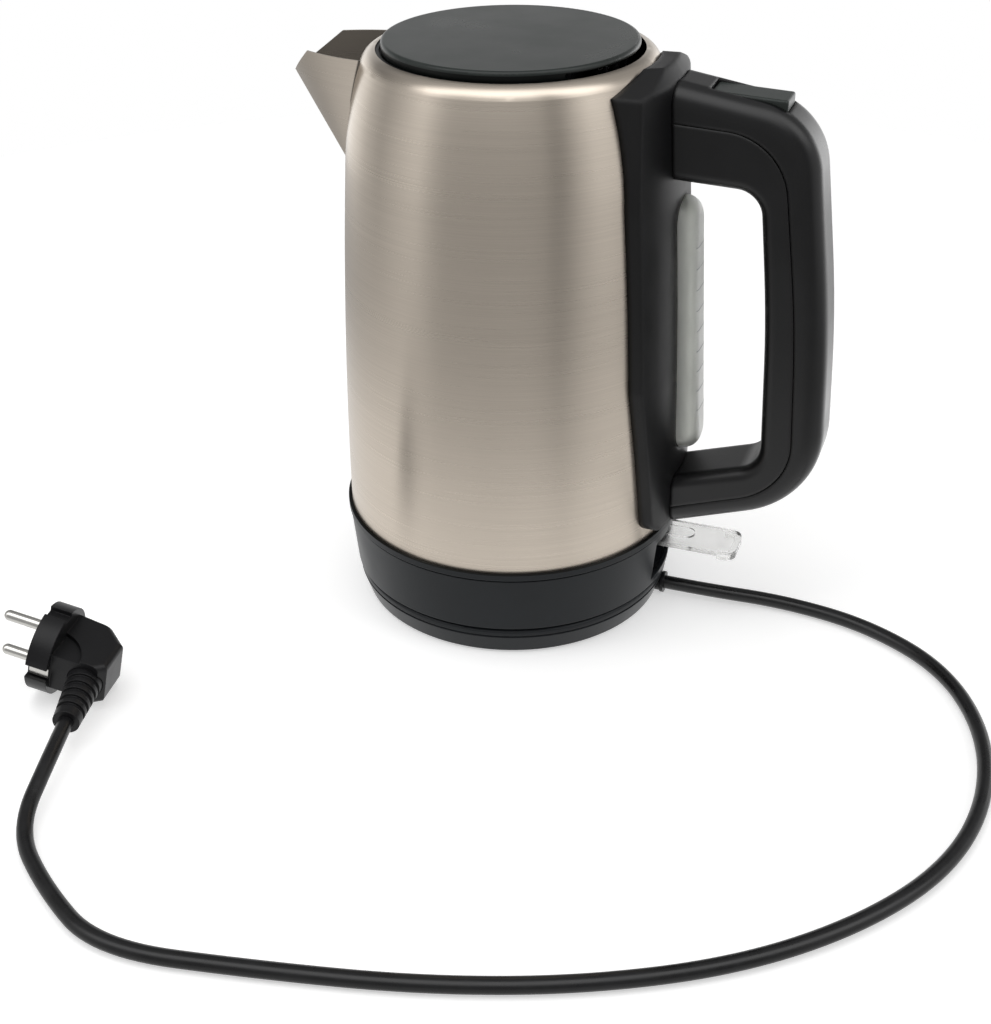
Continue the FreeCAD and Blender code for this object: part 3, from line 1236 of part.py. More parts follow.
def make_lid():
    under = s.lid_top_height - s.lid_wall
    wall_in = s.lid_radius - s.lid_wall
    cap = revolved("lid_cap", [
        Corner(0, s.lid_top_height),
        Corner(s.lid_radius, s.lid_top_height, s.lid_edge_rounding),
        Corner(s.lid_radius, s.lid_low_height),
        Corner(wall_in, s.lid_low_height),
        Corner(wall_in, under),
        Corner(0, under),
    ])
    behind_back = (s.lid_back, s.lid_radius + s.clear_margin)
    lid_width = (-s.lid_radius, s.lid_radius)
    behind = block("lid_rim_gap", behind_back, lid_width, (s.lid_plug_low, under))
    floor_top = s.lid_plug_low + s.lid_plug_wall
    bosses = []
    holes = []
    screws = []
    for index, side in enumerate((1, -1)):
        y = side * s.lid_screw_distance
        bosses.append(rod(f"lid_boss_{index}", s.lid_boss_radius, under - floor_top, 0, y, floor_top + s.fit))
        screw_end = floor_top + s.screw_length + s.fit
        holes.append(screw_hole(f"lid_boss_hole_{index}", 0, y, floor_top, screw_end))
        screws.append(screw(f"lid_screw_{index}", 0, y, floor_top - s.screw_head_height / 2))
    lid_cap = fused("lid_cap_bossed", [cut("lid_cap_cut", cap, [behind])] + bosses)
    piece("lid_cover", cut("lid_cap_drilled", lid_cap, holes))
    piece("lid_screws", fused("lid_screw_group", screws))

    cup_top = under - s.fit
    cup_in = s.lid_plug_radius - s.lid_plug_wall
    cup = revolved("lid_cup", [
        Corner(0, s.lid_plug_low),
        Corner(s.lid_plug_radius, s.lid_plug_low, s.lid_edge_rounding),
        Corner(s.lid_plug_radius, cup_top),
        Corner(cup_in, cup_top),
        Corner(cup_in, floor_top),
        Corner(0, floor_top),
    ])
    back_disc = rod("lid_back_disc", s.lid_plug_radius, cup_top - s.lid_plug_low, 0, 0, s.lid_plug_low)
    back_slab = block("lid_back_slab", (s.lid_back - s.lid_plug_wall, s.lid_back),
                      (-s.lid_plug_radius, s.lid_plug_radius),
                      (s.lid_plug_low + s.lid_edge_rounding, cup_top))
    back_wall = common("lid_back_wall", back_disc, back_slab)
    seats = [block("lid_cup_back", behind_back, lid_width, (s.lid_plug_low - s.fit, s.lid_top_height))]
    for index, side in enumerate((1, -1)):
        y = side * s.lid_screw_distance
        seat = floor_top - s.screw_head_height / 2
        seats.append(rod(f"lid_seat_{index}", s.screw_head_radius + s.fit, s.screw_head_height * 2,
                         0, y, seat - s.screw_head_height * 2))
        seats.append(screw_hole(f"lid_hole_{index}", 0, y, s.lid_plug_low, floor_top))
    piece("lid_inner", cut("lid_cup_cut", fused("lid_cup_closed", [cup, back_wall]), seats))

    seal_out = s.lid_plug_radius + s.fit + s.lid_seal_width
    ring = cut("lid_seal_ring", rod("lid_seal_out", seal_out, s.lid_seal_height, 0, 0, s.lid_seal_low),
               [rod("lid_seal_in", s.lid_plug_radius + s.fit, s.lid_seal_height, 0, 0, s.lid_seal_low),
                block("lid_seal_back", behind_back, lid_width,
                      (s.lid_seal_low, s.lid_seal_low + s.lid_seal_height))])
    piece("lid_seal", ring)

    edge_in = s.opening_radius - s.fit
    upstand_in = s.lid_radius + 2 * s.running_gap
    shelf = s.lid_low_height - 2 * s.running_gap
    ring = revolved("collar_ring", [
        Corner(s.collar_radius, s.collar_low),
        Corner(s.collar_radius + s.collar_wall, s.collar_low),
        Corner(s.collar_radius + s.collar_wall, s.collar_flange_height - s.collar_flange_thickness),
        Corner(s.collar_flange_radius, s.collar_flange_height - s.collar_flange_thickness),
        Corner(s.collar_flange_radius, s.collar_flange_height),
        Corner(edge_in, s.collar_flange_height),
        Corner(edge_in, s.opening_height - s.body_wall / 2),
        Corner(upstand_in, s.opening_height - s.body_wall / 2),
        Corner(upstand_in, shelf),
        Corner(s.collar_radius, shelf),
    ])
    gap = block("collar_gap", (s.lid_back, s.body_foot_radius),
                (-s.collar_gap_half_width, s.collar_gap_half_width), (s.collar_low, s.lid_top_height))
    piece("lid_collar", cut("collar_cut", ring, [gap]))


def make_hinge():
    x = s.hinge_distance
    knuckle = s.hinge_knuckle_radius
    lid_under = s.lid_top_height - s.lid_wall - s.fit
    half = s.hinge_block_half_width
    block_solid = block("hinge_block", (x - knuckle, x + knuckle), (-half, half), (s.hinge_height, lid_under))
    barrel = rod("hinge_barrel", knuckle, 2 * half, x, -half, s.hinge_height, ALONG_Y)
    tail = block("hinge_tail", (x - knuckle, x + knuckle),
                 (-s.hinge_tail_half_width, s.hinge_tail_half_width), (s.latch_low, s.hinge_height))
    bore = rod("hinge_bore", s.hinge_pin_radius + s.bearing_gap, 2 * half, x, -half, s.hinge_height, ALONG_Y)
    piece("lid_hinge_arm", cut("hinge_arm_cut", fused("hinge_arm", [block_solid, barrel, tail]), [bore]))

    ear_in = half + s.running_gap
    ear_out = ear_in + s.hinge_ear_thickness
    plate_top = s.bracket_low + s.bracket_thickness
    solids = [block("bracket_plate", (x - knuckle, s.bracket_reach), (-ear_out, ear_out),
                    (s.bracket_low, plate_top))]
    for index, side in enumerate((1, -1)):
        span = sorted((side * ear_in, side * ear_out), key=number)
        solids.append(block(f"bracket_ear_{index}", (x - knuckle, x + knuckle), span,
                            (s.bracket_low, s.hinge_height)))
        solids.append(rod(f"bracket_eye_{index}", knuckle, s.hinge_ear_thickness,
                          x, span[0], s.hinge_height, ALONG_Y))
    hole = rod("bracket_hole", s.hinge_pin_radius + s.bearing_gap, 2 * ear_out,
               x, -ear_out, s.hinge_height, ALONG_Y)
    piece("hinge_bracket", cut("bracket_cut", fused("bracket", solids), [hole]))
    piece("hinge_pin", rod("pin", s.hinge_pin_radius, 2 * ear_out, x, -ear_out, s.hinge_height, ALONG_Y))


# Cord, gland and plug

def cord_path(points):
    """Straight runs joined by the largest tangent arcs that the shorter run allows."""
    edges = []
    radii = []
    last = points[0]
    for before, here, after in zip(points, points[1:], points[2:]):
        back = before - here
        ahead = after - here
        shorter = min(back.Length, ahead.Length)
        back.normalize()
        ahead.normalize()
        half_turn = (math.pi - back.getAngle(ahead)) / 2
        reach = 0.45 * shorter
        radius = reach / math.tan(half_turn)
        radii.append(radius)
        first = here + back * reach
        final = here + ahead * reach
        inward = (back + ahead).normalize()
        middle = here + inward * (radius / math.cos(half_turn) - radius)
        edges.append(Part.LineSegment(last, first).toShape())
        edges.append(Part.Arc(first, middle, final).toShape())
        last = final
    edges.append(Part.LineSegment(last, points[-1]).toShape())
    return Part.Wire(edges), radii


def plug_home():
    turn = FreeCAD.Rotation(s.plug_yaw.value, s.plug_pitch.value, s.plug_roll.value)
    face = FreeCAD.Vector(s.plug_across.value, s.plug_along.value, s.plug_height.value)
    return FreeCAD.Placement(face, turn)


def outlet_placement():
    root = FreeCAD.Vector(-s.outlet_distance.value, 0, -s.outlet_start.value)
    return plug_home().multiply(FreeCAD.Placement(root, FreeCAD.Rotation(0, s.outlet_lean.value, 0)))


def make_cord():
    gland_end = s.base_edge_radius + s.gland_collar_length
    first = FreeCAD.Vector(gland_end.value, s.cord_exit_side.value, s.cord_exit_height.value)
    outlet = outlet_placement()
    lead = s.cord_lead.value
    points = [first, first + FreeCAD.Vector(lead, 0, 0)]
    points += [FreeCAD.Vector(x, y, s.cord_height.value) for x, y in ROUTE]
    points += [outlet.multVec(FreeCAD.Vector(0, 0, -s.outlet_length.value - length)) for length in (lead, 0)]
    radius = s.cord_diameter.value / 2
    path, radii = cord_path(points)
    circle = Part.Wire(Part.makeCircle(radius, points[0], points[1] - points[0]))
    tube = path.makePipeShell([circle], True, False)
    expected = math.pi * radius ** 2 * path.Length
    print("cord length %.1f, volume %.1f, section times length %.1f" % (path.Length, tube.Volume, expected))
    print("cord radii " + " ".join("%.0f" % value for value in radii))
    cord = doc.addObject("Part::Feature", "cord_tube")
    cord.Shape = tube
    piece("power_cord", cord)

    inner_end = s.base_edge_radius - s.base_wall - s.gland_inner_length
    neck = rod("gland_neck", s.gland_neck_radius, gland_end - inner_end, inner_end, s.cord_exit_side,
               s.cord_exit_height, ALONG_X)
    collar = rod("gland_collar", s.gland_collar_radius, s.gland_collar_length,
                 s.base_edge_radius, s.cord_exit_side, s.cord_exit_height, ALONG_X)
    piece("cord_gland", fused("gland", [neck, collar]))


def make_plug():
    front = rod("plug_front", s.plug_radius, s.plug_front_length, -s.plug_front_length, 0, 0, ALONG_X)
    cord_side = -s.plug_cord_side
    rear = padded("plug_rear", "XZ_Plane", [
        Corner(-s.plug_front_length / 2, s.plug_shoulder),
        Corner(-s.plug_front_length / 2, cord_side),
        Corner(-s.plug_length + s.plug_edge_rounding, cord_side),
        Corner(-s.plug_length, -s.plug_back_low),
        Corner(-s.plug_length, s.plug_back_high),
        Corner(-s.plug_length + s.plug_back_slope, s.plug_shoulder - s.plug_shoulder_taper),
    ], 2 * s.plug_rear_half_width, 0, True)
    rounding_test = plug_side_edges(s.plug_rear_half_width.value, -s.plug_front_length.value / 2)
    rounded(rear, "plug_rear_rounding", s.plug_edge_rounding, rounding_test)
    tools = []
    grips = []
    clips = []
    pins = []
    far = s.plug_radius + s.clear_margin
    for index, side in enumerate((1, -1)):
        groove = sorted((side * (s.plug_radius - s.plug_groove_depth), side * far), key=number)
        tools.append(block(f"plug_groove_{index}", (-s.plug_front_length, s.fit), groove,
                           (-s.plug_groove_half_width, s.plug_groove_half_width)))
        recess = sorted((side * (s.plug_radius - s.plug_recess_depth), side * far), key=number)
        tools.append(block(f"plug_recess_{index}", (-s.plug_front_length, s.fit),
                           (-s.plug_recess_half_width, s.plug_recess_half_width), recess))
        clip_in = s.plug_radius - s.plug_recess_depth + s.fit
        clip = sorted((side * clip_in, side * (clip_in + s.clip_thickness)), key=number)
        clips.append(block(f"earth_clip_{index}", (-s.plug_front_length + s.fit, -s.clip_thickness),
                           (-s.clip_half_width, s.clip_half_width), clip))
        grip_in = s.plug_rear_half_width - s.plug_grip_depth
        grip_low = min(side * s.plug_rear_half_width, side * grip_in, key=number)
        grips.append(rod(f"plug_grip_{index}", s.plug_grip_radius, s.plug_grip_depth, -s.plug_grip_distance,
                         grip_low, -s.plug_grip_radius, ALONG_Y))
        pin_y = side * s.pin_spacing / 2
        pins.append(rod(f"plug_pin_{index}", s.pin_radius, s.pin_length - s.pin_radius, 0, pin_y, 0, ALONG_X))
        pins.append(ball(f"plug_pin_tip_{index}", s.pin_radius, s.pin_length - s.pin_radius, pin_y, 0))
    tools.append(rod("earth_hole", s.earth_hole_radius, s.plug_front_length, -s.plug_front_length, 0,
                     s.earth_hole_offset, ALONG_X))
    reach = s.plug_cord_side
    tools.append(rod("relief_socket", s.outlet_root_radius + s.fit, reach + s.fit,
                     -s.outlet_distance - reach * sine(s.outlet_lean), 0,
                     -s.outlet_start - reach * cosine(s.outlet_lean),
                     FreeCAD.Rotation(0, s.outlet_lean.value, 0)))
    hollowed = cut("plug_rear_hollowed", rear, grips)
    piece("plug_body", cut("plug_cut", fused("plug_solid", [front, hollowed]), tools))
    piece("plug_earth_clips", fused("earth_clip_group", clips))
    piece("plug_pins", fused("plug_pin_group", pins))

    outline = [
        Corner(0, 0),
        Corner(0, -s.outlet_length),
        Corner(s.outlet_end_radius, -s.outlet_length),
    ]
    step = s.outlet_length / (2 * OUTLET_RIB_COUNT + OUTLET_PLAIN_STEPS)
    taper = (s.outlet_root_radius - s.outlet_end_radius) / s.outlet_length
    for index in range(OUTLET_RIB_COUNT, 0, -1):
        groove_end = step * (2 * index + 1)
        groove_start = step * (2 * index)
        end_radius = s.outlet_root_radius - taper * groove_end
        start_radius = s.outlet_root_radius - taper * groove_start
        outline += [
            Corner(end_radius, -groove_end),
            Corner(end_radius - s.outlet_rib_depth, -groove_end),
            Corner(start_radius - s.outlet_rib_depth, -groove_start),
            Corner(start_radius, -groove_start),
        ]
    outline.append(Corner(s.outlet_root_radius, 0))
    piece("plug_strain_relief", place(revolved("relief", outline), 0, 0, 0))
    doc.recompute()
    homes = {name: plug_home() for name in ("plug_body", "plug_earth_clips", "plug_pins")}
    homes["plug_strain_relief"] = outlet_placement()
    for item in pieces:
        if item.Label in homes:
            for axis in "xyz":
                item.setExpression(f"Placement.Base.{axis}", None)
            item.Placement = homes[item.Label].multiply(item.Placement)


def plug_side_edges(half, front):
    def test(point):
        return same(abs(point.y), half) and point.x < front - NEAR
    return test


def ball(name, radius, x, y, z):
    item = doc.addObject("Part::Sphere", name)
    item.setExpression("Radius", text(radius))
    return place(item, x, y, z)


make_base()
make_foot(make_connector())
make_heater()
make_lever()
make_jug()
make_spout()
make_strip()
make_window()
make_handle()
make_button()
make_latch()
make_lid()
make_hinge()
make_cord()
make_plug()
doc.recompute()

failed = [item.Name for item in doc.Objects if "Invalid" in item.State or "Error" in item.State]
if failed:
    raise RuntimeError("failed objects: " + ", ".join(failed))
for item in pieces:
    if item.Shape.isNull() or not item.Shape.isValid() or not item.Shape.Solids:
        raise RuntimeError("no valid solid: " + item.Label)
os.makedirs("parts", exist_ok=True)
for item in pieces:
    item.Shape.exportStep(os.path.join("parts", item.Label + ".step"))
    box = item.Shape.BoundBox
    print(f"{item.Label:20} solids {len(item.Shape.Solids)} volume {item.Shape.Volume:9.1f}",
          f" x {box.XMin:.1f}..{box.XMax:.1f}",
          f"y {box.YMin:.1f}..{box.YMax:.1f}",
          f"z {box.ZMin:.1f}..{box.ZMax:.1f}")
print(len(pieces), "sub-parts")
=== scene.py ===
import math

import bpy
from mathutils import Matrix, Vector


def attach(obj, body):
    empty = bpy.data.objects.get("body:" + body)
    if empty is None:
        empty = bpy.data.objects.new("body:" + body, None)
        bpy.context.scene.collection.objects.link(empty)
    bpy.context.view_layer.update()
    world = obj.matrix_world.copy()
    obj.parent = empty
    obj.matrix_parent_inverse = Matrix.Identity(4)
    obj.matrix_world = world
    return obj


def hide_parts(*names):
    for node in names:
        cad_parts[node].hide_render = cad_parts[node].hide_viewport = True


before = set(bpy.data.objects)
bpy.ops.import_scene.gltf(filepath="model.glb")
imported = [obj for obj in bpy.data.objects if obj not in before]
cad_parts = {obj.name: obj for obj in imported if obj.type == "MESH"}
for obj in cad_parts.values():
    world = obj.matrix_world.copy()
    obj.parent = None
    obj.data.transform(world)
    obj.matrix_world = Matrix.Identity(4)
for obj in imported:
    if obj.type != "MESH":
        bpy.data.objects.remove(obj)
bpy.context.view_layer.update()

bl_info = {
    "name": "Electric jug kettle",
    "version": (1, 0, 0),
    "blender": (4, 5, 0),
    "location": "3D View > Sidebar > Kettle",
    "description": "Finishes, cord, gauge marks and stage of an electric jug kettle on its power base",
    "category": "Object",
}

MILLIMETRE = 0.001

# Where the cord goes, in millimetres: out of the base, round the front, back to the plug
CORD_START = [(74.6, 3.5, 5.6), (94.6, 3.5, 5.6)]
CORD_ON_FLOOR = [
    (131, 9), (170, 2.5), (205, -18.5), (225.5, -55), (231, -98), (221.5, -140), (196.5, -178),
    (159.5, -212), (112, -238.5), (60, -257.5), (3, -270.6), (-54, -281), (-88, -262.5), (-115.5, -240),
]
CORD_END = [(-120.2, -208.5, 13.6), (-125.7, -189.3, 14.3)]


# Settings

class StudioSettings(bpy.types.PropertyGroup):
    """Camera, floor and light."""

    camera_distance: bpy.props.FloatProperty(
        name="Camera distance", description="From the kettle's axis, along the floor",
        default=0.623977, unit="LENGTH")
    camera_height: bpy.props.FloatProperty(
        name="Camera height", description="Above the floor", default=0.413788, unit="LENGTH")
    camera_azimuth: bpy.props.FloatProperty(
        name="Camera azimuth", description="Angle round the kettle, from straight in front",
        default=math.radians(20), subtype="ANGLE")
    camera_yaw: bpy.props.FloatProperty(
        name="Camera yaw", description="Turn to the right", default=-0.013485, subtype="ANGLE")
    camera_pitch: bpy.props.FloatProperty(
        name="Camera pitch", description="Tilt down", default=0.550302, subtype="ANGLE")
    camera_roll: bpy.props.FloatProperty(
        name="Camera roll", description="Roll round the view line", default=-0.012474, subtype="ANGLE")
    camera_lens: bpy.props.FloatProperty(
        name="Lens", description="Focal length on a 36 mm frame", default=54.14, unit="CAMERA")
    floor_radius: bpy.props.FloatProperty(
        name="Floor radius", description="Radius of the round floor", default=0.75, unit="LENGTH")
    floor_tint: bpy.props.FloatVectorProperty(
        name="Floor", description="Colour of the floor", default=(0.8, 0.8, 0.8), size=3, subtype="COLOR")
    floor_lift: bpy.props.FloatProperty(
        name="Floor lift", description="Light added to the floor that the camera sees", default=0.46)
    pool_light: bpy.props.FloatProperty(
        name="Pool", description="Light of the floor close to the kettle, as the steel mirrors it",
        default=0.97)
    far_light: bpy.props.FloatProperty(
        name="Far floor", description="Light of the floor far from the kettle, as the steel mirrors it",
        default=0.34)
    pool_inner: bpy.props.FloatProperty(
        name="Pool inside", description="Where the pool starts to fade", default=0.17, unit="LENGTH")
    pool_outer: bpy.props.FloatProperty(
        name="Pool edge", description="Where the pool ends", default=0.46, unit="LENGTH")
    ambient: bpy.props.FloatProperty(
        name="Ambient", description="Light from all round", default=0.42)


class CordSettings(bpy.types.PropertyGroup):
    """The mains cord."""

    diameter: bpy.props.FloatProperty(
        name="Diameter", description="Outside the sheath", default=0.0064, unit="LENGTH")
    length: bpy.props.FloatProperty(
        name="Length", description="From the base to the plug", default=0.7085, unit="LENGTH")
    floor_gap: bpy.props.FloatProperty(
        name="Height", description="Cord's middle above the floor", default=0.0034, unit="LENGTH")


class FinishSettings(bpy.types.PropertyGroup):
    """Colours of the finishes."""

    steel: bpy.props.FloatVectorProperty(
        name="Steel", description="Brushed jug and spout", default=(0.62, 0.55, 0.47),
        size=3, subtype="COLOR")
    black: bpy.props.FloatVectorProperty(
        name="Black", description="Handle and strip", default=(0.005, 0.005, 0.0055), size=3, subtype="COLOR")
    skirt: bpy.props.FloatVectorProperty(
        name="Skirt", description="Skirt and base", default=(0.0115, 0.0135, 0.0155), size=3, subtype="COLOR")
    lid: bpy.props.FloatVectorProperty(
        name="Lid", description="Lid's top", default=(0.018, 0.0222, 0.0205), size=3, subtype="COLOR")
    clear: bpy.props.FloatVectorProperty(
        name="Clear", description="Water gauge", default=(0.9, 0.91, 0.87), size=3, subtype="COLOR")
    lever: bpy.props.FloatVectorProperty(
        name="Lever", description="Switch lever", default=(0.97, 0.97, 0.96), size=3, subtype="COLOR")


class GaugeSettings(bpy.types.PropertyGroup):
    """Level marks on the water gauge."""

    count: bpy.props.IntProperty(name="Marks", description="Number of level marks", default=9, min=2)
    spacing: bpy.props.FloatProperty(
        name="Spacing", description="From mark to mark", default=0.0092, unit="LENGTH")
    middle_distance: bpy.props.FloatProperty(
        name="Distance", description="Gauge's middle from the kettle's axis", default=0.0745, unit="LENGTH")
    middle_height: bpy.props.FloatProperty(
        name="Height", description="Gauge's middle above the floor", default=0.1394, unit="LENGTH")
    lean: bpy.props.FloatProperty(
        name="Lean", description="Gauge's lean to the axis", default=math.radians(3.4), subtype="ANGLE")
    half_width: bpy.props.FloatProperty(
        name="Half width", description="Half of the gauge's width", default=0.0104, unit="LENGTH")
    edge_rounding: bpy.props.FloatProperty(
        name="Rounding", description="Gauge's rounded edge", default=0.007, unit="LENGTH")
    mark_height: bpy.props.FloatProperty(
        name="Mark height", description="Height of one mark", default=0.00045, unit="LENGTH")
    mark_relief: bpy.props.FloatProperty(
        name="Mark relief", description="How far a mark stands out", default=0.00008, unit="LENGTH")


# Finishes

# Grains of the brushing per metre, along each axis: long round the jug, fine up its wall
HAIRLINE_GRAINS = (12, 12, 4200)
STROKE_GRAINS = (9, 9, 1800)

# Shades of the steel, as shares of its tint: hairlines, haze, the painted shade on its inner side, and joint
HAIRLINE_DARK = 0.945
HAIRLINE_BRIGHT = 1.045
HAZE_SHADE = 0.85
PAINTED_INNER_SHADE = 0.24
JOINT_SHADE = 0.15

# Shades of a moulding, as shares of its tint: clouds, dust, and the painted shade past its dark height
CLOUD_DARK = 0.85
CLOUD_BRIGHT = 1.15
DUST_SHADE = 3.0
PAINTED_SHADE = 0.2

# Distance from the middle plane times the normal's part away from it, where a wall counts as its inner side
# and is given painted shade
INNER_SIDE = -0.0015
OUTER_SIDE = -0.0004

# How far the painted shade of a moulding takes to fade in
SHADE_FADE = 0.0002


def node_range(tree, source, source_low, source_high, low, high, **settings):
    """Takes a range of one value to a range of another."""
    changed = tree.nodes.new("ShaderNodeMapRange")
    amounts = {"From Min": source_low, "From Max": source_high, "To Min": low, "To Max": high}
    for name, value in amounts.items():
        changed.inputs[name].default_value = value
    for name, value in settings.items():
        setattr(changed, name, value)
    tree.links.new(source, changed.inputs["Value"])
    return changed.outputs["Result"]


def node_mix(tree, factor, first, second):
    """Mixes two colours; each is a colour or a socket."""
    mixed = tree.nodes.new("ShaderNodeMix")
    mixed.data_type = "RGBA"
    tree.links.new(factor, mixed.inputs[0])
    for socket, colour in ((mixed.inputs[6], first), (mixed.inputs[7], second)):
        if isinstance(colour, bpy.types.NodeSocket):
            tree.links.new(colour, socket)
        else:
            socket.default_value = (*colour, 1.0)
    return mixed.outputs[2]


def fill(tree, node, *parts):
    """Gives a node's first sockets a value or a link each."""
    for socket, part in zip(node.inputs, parts):
        if isinstance(part, bpy.types.NodeSocket):
            tree.links.new(part, socket)
        else:
            socket.default_value = part
    return node


def node_maths(tree, operation, *parts, kind="ShaderNodeMath"):
    """A node that works out one sum; each part is a value or a socket."""
    made = tree.nodes.new(kind)
    made.operation = operation
    return fill(tree, made, *parts)


def vector_maths(tree, operation, *parts):
    """A node that works out one sum of vectors; each part is a vector or a socket."""
    return node_maths(tree, operation, *parts, kind="ShaderNodeVectorMath")


def grey(level):
    """A grey of that level."""
    return (level, level, level)


def shade(tint, factor):
    """A colour made lighter or darker."""
    return tuple(min(1.0, channel * factor) for channel in tint)


class Finish:
    """A procedural material, built up on the piece's own coordinates."""

    def __init__(self, name):
        self.material = bpy.data.materials.new(name)
        self.material.use_nodes = True
        self.tree = self.material.node_tree
        self.shader = self.tree.nodes["Principled BSDF"]
        coordinates = self.tree.nodes.new("ShaderNodeTexCoord")
        self.place = coordinates.outputs["Object"]
        self.normal = coordinates.outputs["Normal"]

    def node(self, kind, **settings):
        """A node with its settings."""
        made = self.tree.nodes.new(kind)
        for key, value in settings.items():
            setattr(made, key, value)
        return made

    def link(self, source, target):
        """Joins two sockets."""
        self.tree.links.new(source, target)

    def set(self, **values):
        """Sets the shader's own sockets; an underscore stands for a space."""
        for key, value in values.items():
            self.shader.inputs[key.replace("_", " ")].default_value = value

    def noise(self, per_metre, detail=3.0, contrast=0.55):
        """Noise with that many grains per metre along each axis."""
        mapping = self.node("ShaderNodeMapping")
        mapping.inputs["Scale"].default_value = per_metre
        self.link(self.place, mapping.inputs["Vector"])
        texture = self.node("ShaderNodeTexNoise")
        texture.inputs["Scale"].default_value = 1.0
        texture.inputs["Detail"].default_value = detail
        texture.inputs["Roughness"].default_value = contrast
        self.link(mapping.outputs["Vector"], texture.inputs["Vector"])
        return texture.outputs["Fac"]

    def even_noise(self, per_metre, detail=3.0):
        """Noise with grains as wide as they are long."""
        return self.noise((per_metre, per_metre, per_metre), detail)

    def spread(self, noise, low=0, high=1, start=0.3, end=0.7):
        """Takes the noise's middle levels, from start to end, to a range of another value."""
        return self.range(noise, start, end, low, high)

    def height(self):
        """Height above the floor."""
        split = self.node("ShaderNodeSeparateXYZ")
        self.link(self.place, split.inputs["Vector"])
        return split.outputs["Z"]

    def inner_shade_mask(self):
        """One on the inner side of a wall that stands round the kettle's middle plane, and nought outside:
        where painted shade goes.
        """
        across = vector_maths(self.tree, "MULTIPLY", self.place, (0, 1, 0))
        outward = vector_maths(self.tree, "DOT_PRODUCT", across.outputs["Vector"], self.normal)
        return self.range(outward.outputs["Value"], INNER_SIDE, OUTER_SIDE, 1, 0)

    def close_to_jug(self, wall, width):
        """One close to the jug's wall, which is given by height and radius from the neck up."""
        level = vector_maths(self.tree, "MULTIPLY", self.place, (1, 1, 0))
        distance = vector_maths(self.tree, "LENGTH", level.outputs["Vector"])
        height = self.height()
        slopes = [
            self.range(height, low_height, high_height, low_radius, high_radius, clamp=False)
            for (low_height, low_radius), (high_height, high_radius) in zip(wall, wall[1:])
        ]
        radius = slopes[0]
        for slope in slopes[1:]:
            radius = node_maths(self.tree, "MINIMUM", radius, slope).outputs["Value"]
        gap = node_maths(self.tree, "SUBTRACT", distance.outputs["Value"], radius)
        return self.range(gap.outputs["Value"], width / 2, width, 1, 0)

    def range(self, source, source_low, source_high, low, high, clamp=True):
        """Takes a range of one value to a range of another."""
        return node_range(self.tree, source, source_low, source_high, low, high, clamp=clamp)

    def mix(self, factor, first, second):
        """Mixes two colours; each is a colour or a socket."""
        return node_mix(self.tree, factor, first, second)

    def soft_edges(self, radius):
        """Sharp edges catch the light as if they were worn to that radius."""
        worn = self.node("ShaderNodeBevel", samples=6)
        worn.inputs["Radius"].default_value = radius
        self.link(worn.outputs["Normal"], self.shader.inputs["Normal"])

    def bump(self, source, depth, strength=1.0):
        """Relief of that depth in metres, on top of any relief given before."""
        relief = self.node("ShaderNodeBump")
        relief.inputs["Distance"].default_value = depth
        relief.inputs["Strength"].default_value = strength
        self.link(source, relief.inputs["Height"])
        earlier = self.shader.inputs["Normal"].links
        if earlier:
            self.link(earlier[0].from_socket, relief.inputs["Normal"])
        self.link(relief.outputs["Normal"], self.shader.inputs["Normal"])

    def colour(self, source):
        """The shader's colour."""
        self.link(source, self.shader.inputs["Base Color"])

    def roughness(self, source):
        """The shader's roughness."""
        self.link(source, self.shader.inputs["Roughness"])


def brushed_steel(name, tint, joint=None):
    """Stainless steel, brushed round the jug and hazy from handling, with painted shade on the inner side of
    its walls; dark where it joins the jug.
    """
    finish = Finish(name)
    hairlines = finish.noise(HAIRLINE_GRAINS, detail=2.0, contrast=0.5)
    strokes = finish.noise(STROKE_GRAINS, detail=2.0)
    haze = finish.even_noise(per_metre=22)
    brushed = finish.mix(finish.spread(hairlines), shade(tint, HAIRLINE_DARK), shade(tint, HAIRLINE_BRIGHT))
    hazed = finish.mix(finish.spread(haze, high=0.2, start=0.35, end=0.75), brushed, shade(tint, HAZE_SHADE))
    # Painted shade on the inner side of the walls
    shaded = finish.mix(finish.inner_shade_mask(), hazed, shade(tint, PAINTED_INNER_SHADE))
    if joint is not None:
        shaded = finish.mix(finish.close_to_jug(*joint), shaded, shade(tint, JOINT_SHADE))
    finish.colour(shaded)
    finish.roughness(finish.spread(strokes, low=0.27, high=0.31))
    finish.bump(hairlines, depth=0.00001, strength=0.05)
    finish.set(Metallic=1.0, Anisotropic=0.75, Anisotropic_Rotation=0.25)
    tangent = finish.node("ShaderNodeTangent", direction_type="RADIAL", axis="Z")
    finish.link(tangent.outputs["Tangent"], finish.shader.inputs["Tangent"])
    return finish.material


def plain_metal(name, tint, rough):
    """Pressed or turned metal with fine marks; rough gives its least and most roughness."""
    finish = Finish(name)
    grain = finish.even_noise(per_metre=1600, detail=4.0)
    cloud = finish.even_noise(per_metre=90)
    finish.colour(finish.mix(finish.spread(cloud), shade(tint, CLOUD_DARK), tint))
    finish.roughness(finish.spread(grain, *rough))
    finish.bump(grain, depth=0.00002, strength=0.2)
    finish.set(Metallic=1.0)
    return finish.material


